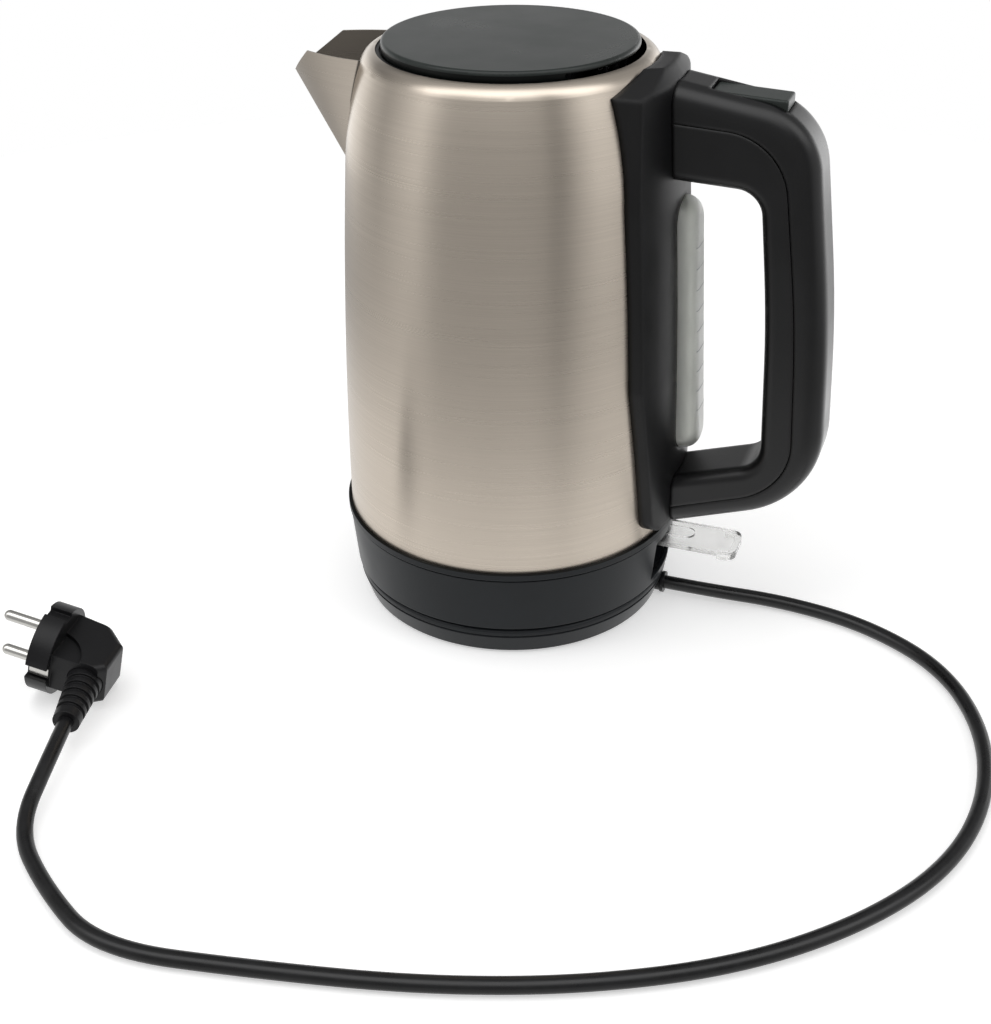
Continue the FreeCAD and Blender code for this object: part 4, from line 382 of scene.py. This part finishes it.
def moulded(name, tint, rough, gloss=0.32, grain_size=0.0005, grain_depth=0.00002,
            dark_height=None, dark_above=True, edge=0.0006):
    """Moulded plastic with a fine grain, shine marks and a little dust; in painted shade past dark_height,
    with half the gloss there.
    """
    finish = Finish(name)
    finish.soft_edges(edge)
    grain = finish.even_noise(per_metre=1 / grain_size, detail=2.0)
    cloud = finish.even_noise(per_metre=35)
    dust = finish.even_noise(per_metre=1300, detail=1.0)
    plain = finish.mix(finish.spread(cloud), shade(tint, CLOUD_DARK), shade(tint, CLOUD_BRIGHT))
    tone = finish.mix(finish.spread(dust, high=0.3, start=0.72, end=0.8), plain, shade(tint, DUST_SHADE))
    # Painted shade: darker colour and half the gloss past the dark height
    if dark_height is not None:
        fade = SHADE_FADE if dark_above else -SHADE_FADE
        shaded = finish.range(finish.height(), dark_height, dark_height + fade, 0, 1)
        tone = finish.mix(shaded, tone, shade(tint, PAINTED_SHADE))
        finish.link(finish.range(shaded, 0, 1, gloss, gloss / 2), finish.shader.inputs["Specular IOR Level"])
    finish.colour(tone)
    finish.roughness(finish.spread(cloud, *rough))
    finish.bump(grain, depth=grain_depth, strength=0.6)
    finish.set(Specular_IOR_Level=gloss)
    return finish.material


def see_through(name, tint, rough, clearness):
    """Clear or milky plastic with faint flow ripples from moulding."""
    finish = Finish(name)
    ripple = finish.noise(per_metre=(90, 90, 30), detail=1.0)
    haze = finish.even_noise(per_metre=70, detail=2.0)
    finish.colour(finish.mix(finish.spread(haze, start=0.35), tint, shade(tint, 0.94)))
    finish.roughness(finish.spread(haze, *rough, start=0.4, end=0.75))
    finish.bump(ripple, depth=0.00001, strength=0.4)
    finish.set(Transmission_Weight=clearness, IOR=1.49)
    return finish.material


def soft_rubber(name, tint):
    """Matt rubber with a bloom."""
    finish = Finish(name)
    grain = finish.even_noise(per_metre=1400)
    bloom = finish.even_noise(per_metre=60)
    finish.colour(finish.mix(finish.spread(bloom, start=0.35), tint, shade(tint, 1.5)))
    finish.roughness(finish.spread(grain, low=0.6, high=0.78))
    finish.bump(grain, depth=0.00004, strength=0.5)
    return finish.material


def dress(material, *names):
    """Gives CAD nodes their finish."""
    for name in names:
        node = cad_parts[name]
        if not node.material_slots:
            node.data.materials.append(material)
        for slot in node.material_slots:
            slot.material = material


def add_object(name, data):
    """A new object at the origin, in the scene."""
    made = bpy.data.objects.new(name, data)
    bpy.context.scene.collection.objects.link(made)
    return made


# Stage

SENSOR_WIDTH = 36
CLIP_START = 0.01
FLOOR_SIDES = 96
LAMP_AIM = (0, 0, 0.12)

# Lamps: name, place, width, height and power
SOFTBOXES = [
    ("top_softbox", (-0.15, -0.1, 1.25), 1.0, 1.0, 6.0),
    ("left_softbox", (-0.95, -0.75, 0.65), 0.5, 1.0, 4.0),
    ("right_softbox", (1.15, -0.25, 0.75), 0.5, 1.0, 3.5),
]


def place_camera(studio):
    """The camera at the photograph's viewing angle."""
    yaw = studio.camera_yaw
    pitch = studio.camera_pitch
    forward = Vector((math.sin(yaw) * math.cos(pitch), math.cos(yaw) * math.cos(pitch), -math.sin(pitch)))
    level_right = Vector((math.cos(yaw), -math.sin(yaw), 0))
    level_up = level_right.cross(forward)
    roll_cos = math.cos(studio.camera_roll)
    roll_sin = math.sin(studio.camera_roll)
    right = level_right * roll_cos + level_up * roll_sin
    up = level_up * roll_cos - level_right * roll_sin
    turn = Matrix((right, up, -forward)).transposed().to_4x4()
    spot = Matrix.Translation((0, -studio.camera_distance, studio.camera_height))
    data = bpy.data.cameras.new("photo_camera")
    data.lens = studio.camera_lens
    data.sensor_width = SENSOR_WIDTH
    data.clip_start = CLIP_START
    camera = add_object("photo_camera", data)
    camera.matrix_world = Matrix.Rotation(studio.camera_azimuth, 4, "Z") @ spot @ turn
    bpy.context.scene.camera = camera


# Light that the steel mirrors from all round, by angle to the right of the camera in degrees
STUDIO_BANDS = [
    (-180, 0.45), (-150, 0.7), (-120, 0.45), (-100, 0.48), (-82, 0.7), (-66, 0.85), (-56, 0.6), (-46, 0.44),
    (22, 0.42), (29, 0.28), (36, 0.28), (46, 0.55), (60, 0.85), (80, 0.85), (110, 0.75), (130, 1.4),
    (165, 0.45),
]

# The same for the far floor, as a share of its light
FLOOR_BANDS = [
    (-180, 1.0), (-120, 1.3), (-95, 1.5), (-72, 1.52), (-60, 1.36), (-48, 1.0), (-20, 0.95), (9, 1.0),
    (20, 0.9), (25, 0.74), (29, 0.74), (36, 1.0), (46, 1.2), (62, 1.3), (76, 1.3), (90, 1.5), (100, 4.0),
    (118, 4.0), (150, 1.0),
]

# How much of the floor's bands is left close to the kettle
POOL_BANDS = 0.12

# The light overhead, less bright behind the kettle, and how far up it starts: lower over bright bands
STUDIO_TOP = 2.4
BACK_TOP = 0.42
TOP_BACK = -0.08
TOP_FRONT = 0.06
TOP_START = 0.82
TOP_FULL = 1.09
SIDE_RISE = 0.6

# The light behind the kettle, which the lid mirrors: bright close to the floor, less so above
BACK_BRIGHT = 1.9
BACK_DIM = 0.3
BACK_LOW = 0.1
BACK_HIGH = 0.42
BACK_START = -0.2
BACK_FULL = -0.6


def by_ray(tree, plain, *cases):
    """A colour that goes by the kind of ray that asks for it."""
    path = tree.nodes.new("ShaderNodeLightPath")
    result = plain
    for name, colour in cases:
        result = node_mix(tree, path.outputs[name], result, colour)
    return result


def round_bands(tree, place, studio, bands):
    """The level of light at each angle round the kettle, and the direction's parts: X is to the camera."""
    turned = tree.nodes.new("ShaderNodeMapping")
    turned.vector_type = "VECTOR"
    turned.inputs["Rotation"].default_value = (0, 0, math.radians(90) - studio.camera_azimuth)
    tree.links.new(place, turned.inputs["Vector"])
    split = tree.nodes.new("ShaderNodeSeparateXYZ")
    tree.links.new(turned.outputs["Vector"], split.inputs["Vector"])
    angle = node_maths(tree, "ARCTAN2", split.outputs["Y"], split.outputs["X"])
    ramp = tree.nodes.new("ShaderNodeValToRGB")
    stops = ramp.color_ramp.elements
    while len(stops) < len(bands):
        stops.new(0.5)
    for stop, (degrees, level) in zip(stops, bands):
        stop.position = (degrees + 180) / 360
        stop.color = (*grey(level), 1.0)
    tree.links.new(node_range(tree, angle.outputs["Value"], -math.pi, math.pi, 0, 1), ramp.inputs["Fac"])
    return ramp.outputs["Color"], split.outputs


def mirrored_floor(tree, studio):
    """The floor as the steel mirrors it: a painted pool of light round the kettle, and bands further out, as
    glow that only glossy rays see.
    """
    place = tree.nodes.new("ShaderNodeTexCoord")
    distance = vector_maths(tree, "LENGTH", place.outputs["Object"])
    spread = node_range(tree, distance.outputs["Value"], studio.pool_inner, studio.pool_outer, POOL_BANDS, 1)
    bands, _ = round_bands(tree, place.outputs["Object"], studio, FLOOR_BANDS)
    banded = node_mix(tree, spread, grey(1), bands)
    pool = node_range(tree, distance.outputs["Value"], studio.pool_inner, studio.pool_outer,
                      studio.pool_light, studio.far_light, interpolation_type="SMOOTHSTEP")
    lit = vector_maths(tree, "SCALE", banded)
    tree.links.new(pool, lit.inputs["Scale"])
    return lit.outputs["Vector"]


def lay_floor(studio):
    """A round pale floor that keeps the kettle's shadow."""
    material = bpy.data.materials.new("pale_floor")
    material.use_nodes = True
    tree = material.node_tree
    shader = tree.nodes["Principled BSDF"]
    tint = tuple(studio.floor_tint)
    # For glossy rays the floor's own shading is black, and a painted pool of light and bands glow in its
    # place
    tone = by_ray(tree, tint, ("Is Glossy Ray", grey(0)), ("Is Transmission Ray", tint))
    tree.links.new(tone, shader.inputs["Base Color"])
    shader.inputs["Roughness"].default_value = 0.9
    shader.inputs["Specular IOR Level"].default_value = 0.0
    shader.inputs["Emission Strength"].default_value = 1.0
    seen = grey(studio.floor_lift)
    lift = by_ray(tree, grey(0), ("Is Glossy Ray", mirrored_floor(tree, studio)),
                  ("Is Transmission Ray", seen), ("Is Camera Ray", seen))
    tree.links.new(lift, shader.inputs["Emission Color"])
    turns = [2 * math.pi * side / FLOOR_SIDES for side in range(FLOOR_SIDES)]
    rim = [(studio.floor_radius * math.cos(turn), studio.floor_radius * math.sin(turn), 0) for turn in turns]
    mesh = bpy.data.meshes.new("floor")
    mesh.from_pydata(rim, [], [list(range(FLOOR_SIDES))])
    mesh.materials.append(material)
    add_object("floor", mesh)


def light_world(studio):
    """White behind the kettle, soft light from all round, and soft bands for the steel to mirror."""
    world = bpy.data.worlds.new("studio")
    bpy.context.scene.world = world
    world.use_nodes = True
    tree = world.node_tree
    direction = tree.nodes.new("ShaderNodeTexCoord")
    bands, part = round_bands(tree, direction.outputs["Generated"], studio, STUDIO_BANDS)
    rise = node_maths(tree, "MULTIPLY_ADD", bands, SIDE_RISE, part["Z"])
    overhead = node_range(tree, rise.outputs["Value"], TOP_START, TOP_FULL, 0, 1)
    in_front = node_range(tree, part["X"], TOP_BACK, TOP_FRONT, BACK_TOP, STUDIO_TOP)
    behind = node_range(tree, part["X"], BACK_FULL, BACK_START, 1, 0)
    fading = node_range(tree, part["Z"], BACK_LOW, BACK_HIGH, BACK_BRIGHT, BACK_DIM)
    around = vector_maths(tree, "MULTIPLY", bands, node_mix(tree, behind, grey(1), fading))
    mirrored = node_mix(tree, overhead, around.outputs["Vector"], in_front)
    colour = by_ray(tree, grey(studio.ambient), ("Is Glossy Ray", mirrored),
                    ("Is Transmission Ray", grey(1)), ("Is Camera Ray", grey(1)))
    tree.links.new(colour, tree.nodes["Background"].inputs["Color"])


def hang_softbox(name, spot, width, height, power):
    """A rectangular lamp that faces the middle of the jug."""
    data = bpy.data.lights.new(name, "AREA")
    data.shape = "RECTANGLE"
    data.size = width
    data.size_y = height
    data.energy = power
    lamp = add_object(name, data)
    aim = Vector(LAMP_AIM) - Vector(spot)
    lamp.matrix_world = Matrix.Translation(spot) @ aim.to_track_quat("-Z", "Y").to_matrix().to_4x4()
    lamp.visible_glossy = False


class KETTLE_OT_stage(bpy.types.Operator):
    """Sets the camera, the floor and the light"""

    bl_idname = "kettle.stage"
    bl_label = "Stage"

    def execute(self, context):
        studio = context.scene.kettle_studio
        context.scene.view_settings.view_transform = "Standard"
        place_camera(studio)
        lay_floor(studio)
        light_world(studio)
        for lamp in SOFTBOXES:
            hang_softbox(*lamp)
        return {"FINISHED"}


# Colours of metals, rubbers and small pieces

NICKEL = (0.66, 0.65, 0.62)
PLAIN_STEEL = (0.55, 0.53, 0.5)
BRASS = (0.62, 0.47, 0.22)
ALUMINIUM = (0.6, 0.6, 0.6)
SEAL_GREY = (0.35, 0.35, 0.34)
GASKET_BLACK = (0.05, 0.05, 0.05)
PRINT_GREY = (0.62, 0.63, 0.63)
TUBE_WHITE = (0.6, 0.6, 0.58)
LAMP_CLEAR = (0.85, 0.8, 0.75)


# Cord and plug

CORD_STEPS = 12
CORD_ROUNDNESS = 5


def cord_sheath(name, tint):
    """Semi-gloss black sheath."""
    finish = Finish(name)
    grain = finish.even_noise(per_metre=1700)
    scuffs = finish.even_noise(per_metre=120)
    finish.colour(finish.mix(finish.spread(scuffs, start=0.35), shade(tint, 0.8), shade(tint, 1.3)))
    finish.roughness(finish.spread(scuffs, low=0.24, high=0.36))
    finish.bump(grain, depth=0.00003, strength=0.4)
    finish.set(Specular_IOR_Level=0.4)
    return finish.material


class KETTLE_OT_cord(bpy.types.Operator):
    """Lays the mains cord from the base to the plug"""

    bl_idname = "kettle.cord"
    bl_label = "Mains cord"

    def execute(self, context):
        settings = context.scene.kettle_cord
        finishes = context.scene.kettle_finishes
        floor_height = settings.floor_gap / MILLIMETRE
        route = CORD_START + [(x, y, floor_height) for x, y in CORD_ON_FLOOR] + CORD_END
        data = bpy.data.curves.new("mains_cord", "CURVE")
        data.dimensions = "3D"
        data.resolution_u = CORD_STEPS
        data.bevel_depth = settings.diameter / 2
        data.bevel_resolution = CORD_ROUNDNESS
        data.use_fill_caps = True
        spline = data.splines.new("NURBS")
        spline.points.add(len(route) - 1)
        for point, spot in zip(spline.points, route):
            point.co = (*(Vector(spot) * MILLIMETRE), 1)
        spline.order_u = 3
        spline.use_endpoint_u = True
        data.materials.append(cord_sheath("cord_sheath", shade(finishes.black, 1.2)))
        cord = add_object("mains_cord", data)
        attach(cord, "power_base")
        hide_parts("power_cord")
        return {"FINISHED"}


class KETTLE_OT_plug(bpy.types.Operator):
    """Finishes the plug"""

    bl_idname = "kettle.plug"
    bl_label = "Plug"

    def execute(self, context):
        finishes = context.scene.kettle_finishes
        dress(moulded("plug_black", shade(finishes.black, 1.5), rough=(0.32, 0.44), gloss=0.26,
                      grain_size=0.0011, grain_depth=0.00006),
              "plug_body", "plug_strain_relief", "cord_gland")
        dress(plain_metal("nickel_plate", NICKEL, rough=(0.12, 0.26)), "plug_pins", "plug_earth_clips")
        return {"FINISHED"}


# Kettle and base

# The jug's wall behind the spout, by height and radius, and the width of the dark line where they join
SPOUT_JOINT = ([(0.2, 0.0693), (0.227, 0.0657), (0.2456, 0.0606)], 0.001)

# The skirt is painted in shade above this height, and the lid's rim below it
SKIRT_LIP_HEIGHT = 0.0457
LID_RIM_HEIGHT = 0.2526

# Steps round each corner of a level mark, and the share of the gauge's half width behind which it ends
MARK_CORNER_STEPS = 8
MARK_END_SHARE = 0.93


class KETTLE_OT_steelwork(bpy.types.Operator):
    """Finishes the jug and its spout"""

    bl_idname = "kettle.steelwork"
    bl_label = "Steelwork"

    def execute(self, context):
        finishes = context.scene.kettle_finishes
        dress(brushed_steel("jug_steel", finishes.steel), "body_shell")
        # The spout gets a copy of the jug's steel with painted shade, a little darker
        dress(brushed_steel("spout_steel", shade(finishes.steel, 0.95), SPOUT_JOINT), "spout")
        dress(plain_metal("plain_steel", PLAIN_STEEL, rough=(0.22, 0.38)), "spout_filter", "element_plate",
              "hinge_pin", "lever_axle", "base_screws", "bottom_screws", "handle_screws", "lid_screws")
        return {"FINISHED"}


class KETTLE_OT_black_mouldings(bpy.types.Operator):
    """Finishes the handle, the strip behind it, the skirt and the base"""

    bl_idname = "kettle.black_mouldings"
    bl_label = "Black mouldings"

    def execute(self, context):
        finishes = context.scene.kettle_finishes
        dress(moulded("handle_black", finishes.black, rough=(0.27, 0.36), gloss=0.4, edge=0.002),
              "handle_outer_shell", "handle_inner_shell")
        dress(moulded("strip_black", finishes.black, rough=(0.36, 0.46), edge=0.003), "handle_strip")
        # The skirt's lip top is painted in shade
        dress(moulded("skirt_black", finishes.skirt, rough=(0.32, 0.42), gloss=0.22,
                      dark_height=SKIRT_LIP_HEIGHT),
              "skirt", "base_top_shell", "base_bottom_plate", "bottom_cover")
        dress(moulded("inner_black", finishes.black, rough=(0.45, 0.55)), "base_socket", "kettle_coupler",
              "control_unit", "hinge_bracket", "lid_latch")
        dress(soft_rubber("foot_rubber", shade(finishes.black, 1.6)), "base_feet")
        return {"FINISHED"}


class KETTLE_OT_lid(bpy.types.Operator):
    """Finishes the lid and its button"""

    bl_idname = "kettle.lid"
    bl_label = "Lid"

    def execute(self, context):
        finishes = context.scene.kettle_finishes
        # The lid's rim is painted in shade
        dress(moulded("lid_satin", finishes.lid, rough=(0.26, 0.34), gloss=0.3, grain_size=0.0004,
                      grain_depth=0.00001, dark_height=LID_RIM_HEIGHT, dark_above=False), "lid_cover")
        dress(moulded("lid_inner_black", finishes.black, rough=(0.36, 0.48)), "lid_inner", "lid_hinge_arm",
              "lid_collar")
        dress(moulded("button_black", shade(finishes.lid, 1.1), rough=(0.3, 0.4), edge=0.0012), "lid_button")
        dress(soft_rubber("lid_seal_rubber", SEAL_GREY), "lid_seal")
        return {"FINISHED"}


def level_mark_tree(material):
    """Bars round the front of the gauge, one above the other."""
    tree = bpy.data.node_groups.new("level_marks", "GeometryNodeTree")
    panel = tree.interface
    panel.new_socket("Geometry", in_out="INPUT", socket_type="NodeSocketGeometry")
    panel.new_socket("Count", in_out="INPUT", socket_type="NodeSocketInt")
    for name in ("Spacing", "Half Width", "Rounding", "Mark Height", "Mark Relief",
                 "Lean", "Distance", "Height"):
        panel.new_socket(name, in_out="INPUT", socket_type="NodeSocketFloat")
    panel.new_socket("Geometry", in_out="OUTPUT", socket_type="NodeSocketGeometry")
    nodes = tree.nodes
    link = tree.links.new
    given = nodes.new("NodeGroupInput").outputs

    def times(first, second):
        """One value times another."""
        return node_maths(tree, "MULTIPLY", first, second).outputs["Value"]

    def vector(x=0.0, y=0.0, z=0.0):
        """A vector from its parts."""
        return fill(tree, nodes.new("ShaderNodeCombineXYZ"), x, y, z).outputs["Vector"]

    side = times(given["Half Width"], 2.0)
    outline = nodes.new("GeometryNodeCurvePrimitiveQuadrilateral")
    link(side, outline.inputs["Width"])
    link(side, outline.inputs["Height"])
    opened = nodes.new("GeometryNodeSetSplineCyclic")
    link(outline.outputs["Curve"], opened.inputs["Geometry"])
    turned = nodes.new("GeometryNodeTransform")
    turned.inputs["Rotation"].default_value = (0, 0, math.pi)
    link(opened.outputs["Geometry"], turned.inputs["Geometry"])
    rounded = nodes.new("GeometryNodeFilletCurve")
    rounded.mode = "POLY"
    rounded.inputs["Count"].default_value = MARK_CORNER_STEPS
    link(given["Rounding"], rounded.inputs["Radius"])
    link(turned.outputs["Geometry"], rounded.inputs["Curve"])
    place = nodes.new("GeometryNodeInputPosition")
    split = nodes.new("ShaderNodeSeparateXYZ")
    link(place.outputs["Position"], split.inputs["Vector"])
    behind = nodes.new("FunctionNodeCompare")
    behind.operation = "LESS_THAN"
    link(split.outputs["X"], behind.inputs[0])
    link(times(given["Half Width"], MARK_END_SHARE), behind.inputs[1])
    front = nodes.new("GeometryNodeDeleteGeometry")
    link(rounded.outputs["Curve"], front.inputs["Geometry"])
    link(behind.outputs[0], front.inputs["Selection"])
    section = nodes.new("GeometryNodeCurvePrimitiveQuadrilateral")
    link(times(given["Mark Relief"], 2.0), section.inputs["Width"])
    link(given["Mark Height"], section.inputs["Height"])
    bar = nodes.new("GeometryNodeCurveToMesh")
    bar.inputs["Fill Caps"].default_value = True
    link(front.outputs["Geometry"], bar.inputs["Curve"])
    link(section.outputs["Curve"], bar.inputs["Profile Curve"])
    rows = nodes.new("GeometryNodeMeshLine")
    link(given["Count"], rows.inputs["Count"])
    gaps = node_maths(tree, "SUBTRACT", given["Count"], 1.0)
    half_run = times(gaps.outputs["Value"], -0.5)
    link(vector(z=times(half_run, given["Spacing"])), rows.inputs["Start Location"])
    link(vector(z=given["Spacing"]), rows.inputs["Offset"])
    bars = nodes.new("GeometryNodeInstanceOnPoints")
    link(rows.outputs["Mesh"], bars.inputs["Points"])
    link(bar.outputs["Mesh"], bars.inputs["Instance"])
    on_gauge = nodes.new("GeometryNodeTransform")
    link(bars.outputs["Instances"], on_gauge.inputs["Geometry"])
    link(vector(x=given["Distance"], z=given["Height"]), on_gauge.inputs["Translation"])
    link(vector(y=times(given["Lean"], -1.0)), on_gauge.inputs["Rotation"])
    plain = nodes.new("GeometryNodeRealizeInstances")
    link(on_gauge.outputs["Geometry"], plain.inputs["Geometry"])
    painted = nodes.new("GeometryNodeSetMaterial")
    painted.inputs["Material"].default_value = material
    link(plain.outputs["Geometry"], painted.inputs["Geometry"])
    result = nodes.new("NodeGroupOutput")
    link(painted.outputs["Geometry"], result.inputs["Geometry"])
    return tree


def grown(name, tree, **values):
    """The plain mesh that a tree of geometry nodes gives, as a new object."""
    seed = add_object(name + "_seed", bpy.data.meshes.new(name + "_seed"))
    modifier = seed.modifiers.new("grow", "NODES")
    modifier.node_group = tree
    for item in tree.interface.items_tree:
        key = item.name.lower().replace(" ", "_")
        if item.in_out == "INPUT" and key in values:
            modifier[item.identifier] = values[key]
    evaluated = seed.evaluated_get(bpy.context.evaluated_depsgraph_get())
    mesh = bpy.data.meshes.new_from_object(evaluated)
    mesh.name = name
    bpy.data.objects.remove(seed)
    if not mesh.polygons:
        raise RuntimeError(f"{name} has no faces")
    return add_object(name, mesh)


class KETTLE_OT_gauge(bpy.types.Operator):
    """Finishes the water gauge and marks its levels"""

    bl_idname = "kettle.gauge"
    bl_label = "Water gauge"

    def execute(self, context):
        finishes = context.scene.kettle_finishes
        gauge = context.scene.kettle_gauge
        dress(see_through("gauge_clear", finishes.clear, rough=(0.3, 0.38), clearness=0.75), "water_window")
        dress(soft_rubber("gasket_rubber", GASKET_BLACK), "window_gasket", "element_seal")
        print_finish = moulded("mark_print", PRINT_GREY, rough=(0.4, 0.5))
        marks = grown(
            "level_marks", level_mark_tree(print_finish), count=gauge.count, spacing=gauge.spacing,
            half_width=gauge.half_width, rounding=gauge.edge_rounding, mark_height=gauge.mark_height,
            mark_relief=gauge.mark_relief, lean=gauge.lean, distance=gauge.middle_distance,
            height=gauge.middle_height)
        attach(marks, "kettle")
        return {"FINISHED"}


class KETTLE_OT_lever(bpy.types.Operator):
    """Finishes the clear switch lever"""

    bl_idname = "kettle.lever"
    bl_label = "Switch lever"

    def execute(self, context):
        finishes = context.scene.kettle_finishes
        dress(see_through("lever_clear", finishes.lever, rough=(0.2, 0.3), clearness=0.97), "switch_lever")
        return {"FINISHED"}


class KETTLE_OT_inside(bpy.types.Operator):
    """Finishes the heater, its control and the contacts"""

    bl_idname = "kettle.inside"
    bl_label = "Inside"

    def execute(self, context):
        dress(plain_metal("brass", BRASS, rough=(0.2, 0.34)), "base_contacts", "coupler_contacts")
        dress(plain_metal("cast_aluminium", ALUMINIUM, rough=(0.35, 0.5)), "heating_element")
        dress(moulded("steam_tube_white", TUBE_WHITE, rough=(0.4, 0.5)), "steam_tube")
        dress(see_through("lamp_clear", LAMP_CLEAR, rough=(0.1, 0.2), clearness=1.0), "indicator_lamp")
        return {"FINISHED"}


class KETTLE_PT_panel(bpy.types.Panel):
    """Lists the kettle's settings and steps"""

    bl_idname = "KETTLE_PT_panel"
    bl_label = "Electric kettle"
    bl_space_type = "VIEW_3D"
    bl_region_type = "UI"
    bl_category = "Kettle"

    def draw(self, context):
        for key in SETTINGS:
            settings = getattr(context.scene, key)
            box = self.layout.box()
            for name in settings.__annotations__:
                box.prop(settings, name)
        for operator in OPERATORS:
            self.layout.operator(operator.bl_idname)


SETTINGS = {
    "kettle_studio": StudioSettings,
    "kettle_cord": CordSettings,
    "kettle_finishes": FinishSettings,
    "kettle_gauge": GaugeSettings,
}
OPERATORS = (
    KETTLE_OT_stage,
    KETTLE_OT_cord,
    KETTLE_OT_plug,
    KETTLE_OT_steelwork,
    KETTLE_OT_black_mouldings,
    KETTLE_OT_lid,
    KETTLE_OT_gauge,
    KETTLE_OT_lever,
    KETTLE_OT_inside,
)
CLASSES = (*SETTINGS.values(), *OPERATORS, KETTLE_PT_panel)


def register():
    """Adds the classes and the scene's settings."""
    for cls in CLASSES:
        bpy.utils.register_class(cls)
    for name, group in SETTINGS.items():
        setattr(bpy.types.Scene, name, bpy.props.PointerProperty(type=group))


def unregister():
    """Takes the settings and the classes away."""
    for name in SETTINGS:
        delattr(bpy.types.Scene, name)
    for cls in reversed(CLASSES):
        bpy.utils.unregister_class(cls)


def main():
    """Dresses the kettle."""
    register()
    bpy.ops.kettle.stage()
    bpy.ops.kettle.cord()
    bpy.ops.kettle.plug()
    bpy.ops.kettle.steelwork()
    bpy.ops.kettle.black_mouldings()
    bpy.ops.kettle.lid()
    bpy.ops.kettle.gauge()
    bpy.ops.kettle.lever()
    bpy.ops.kettle.inside()


if __name__ == "__main__":
    main()
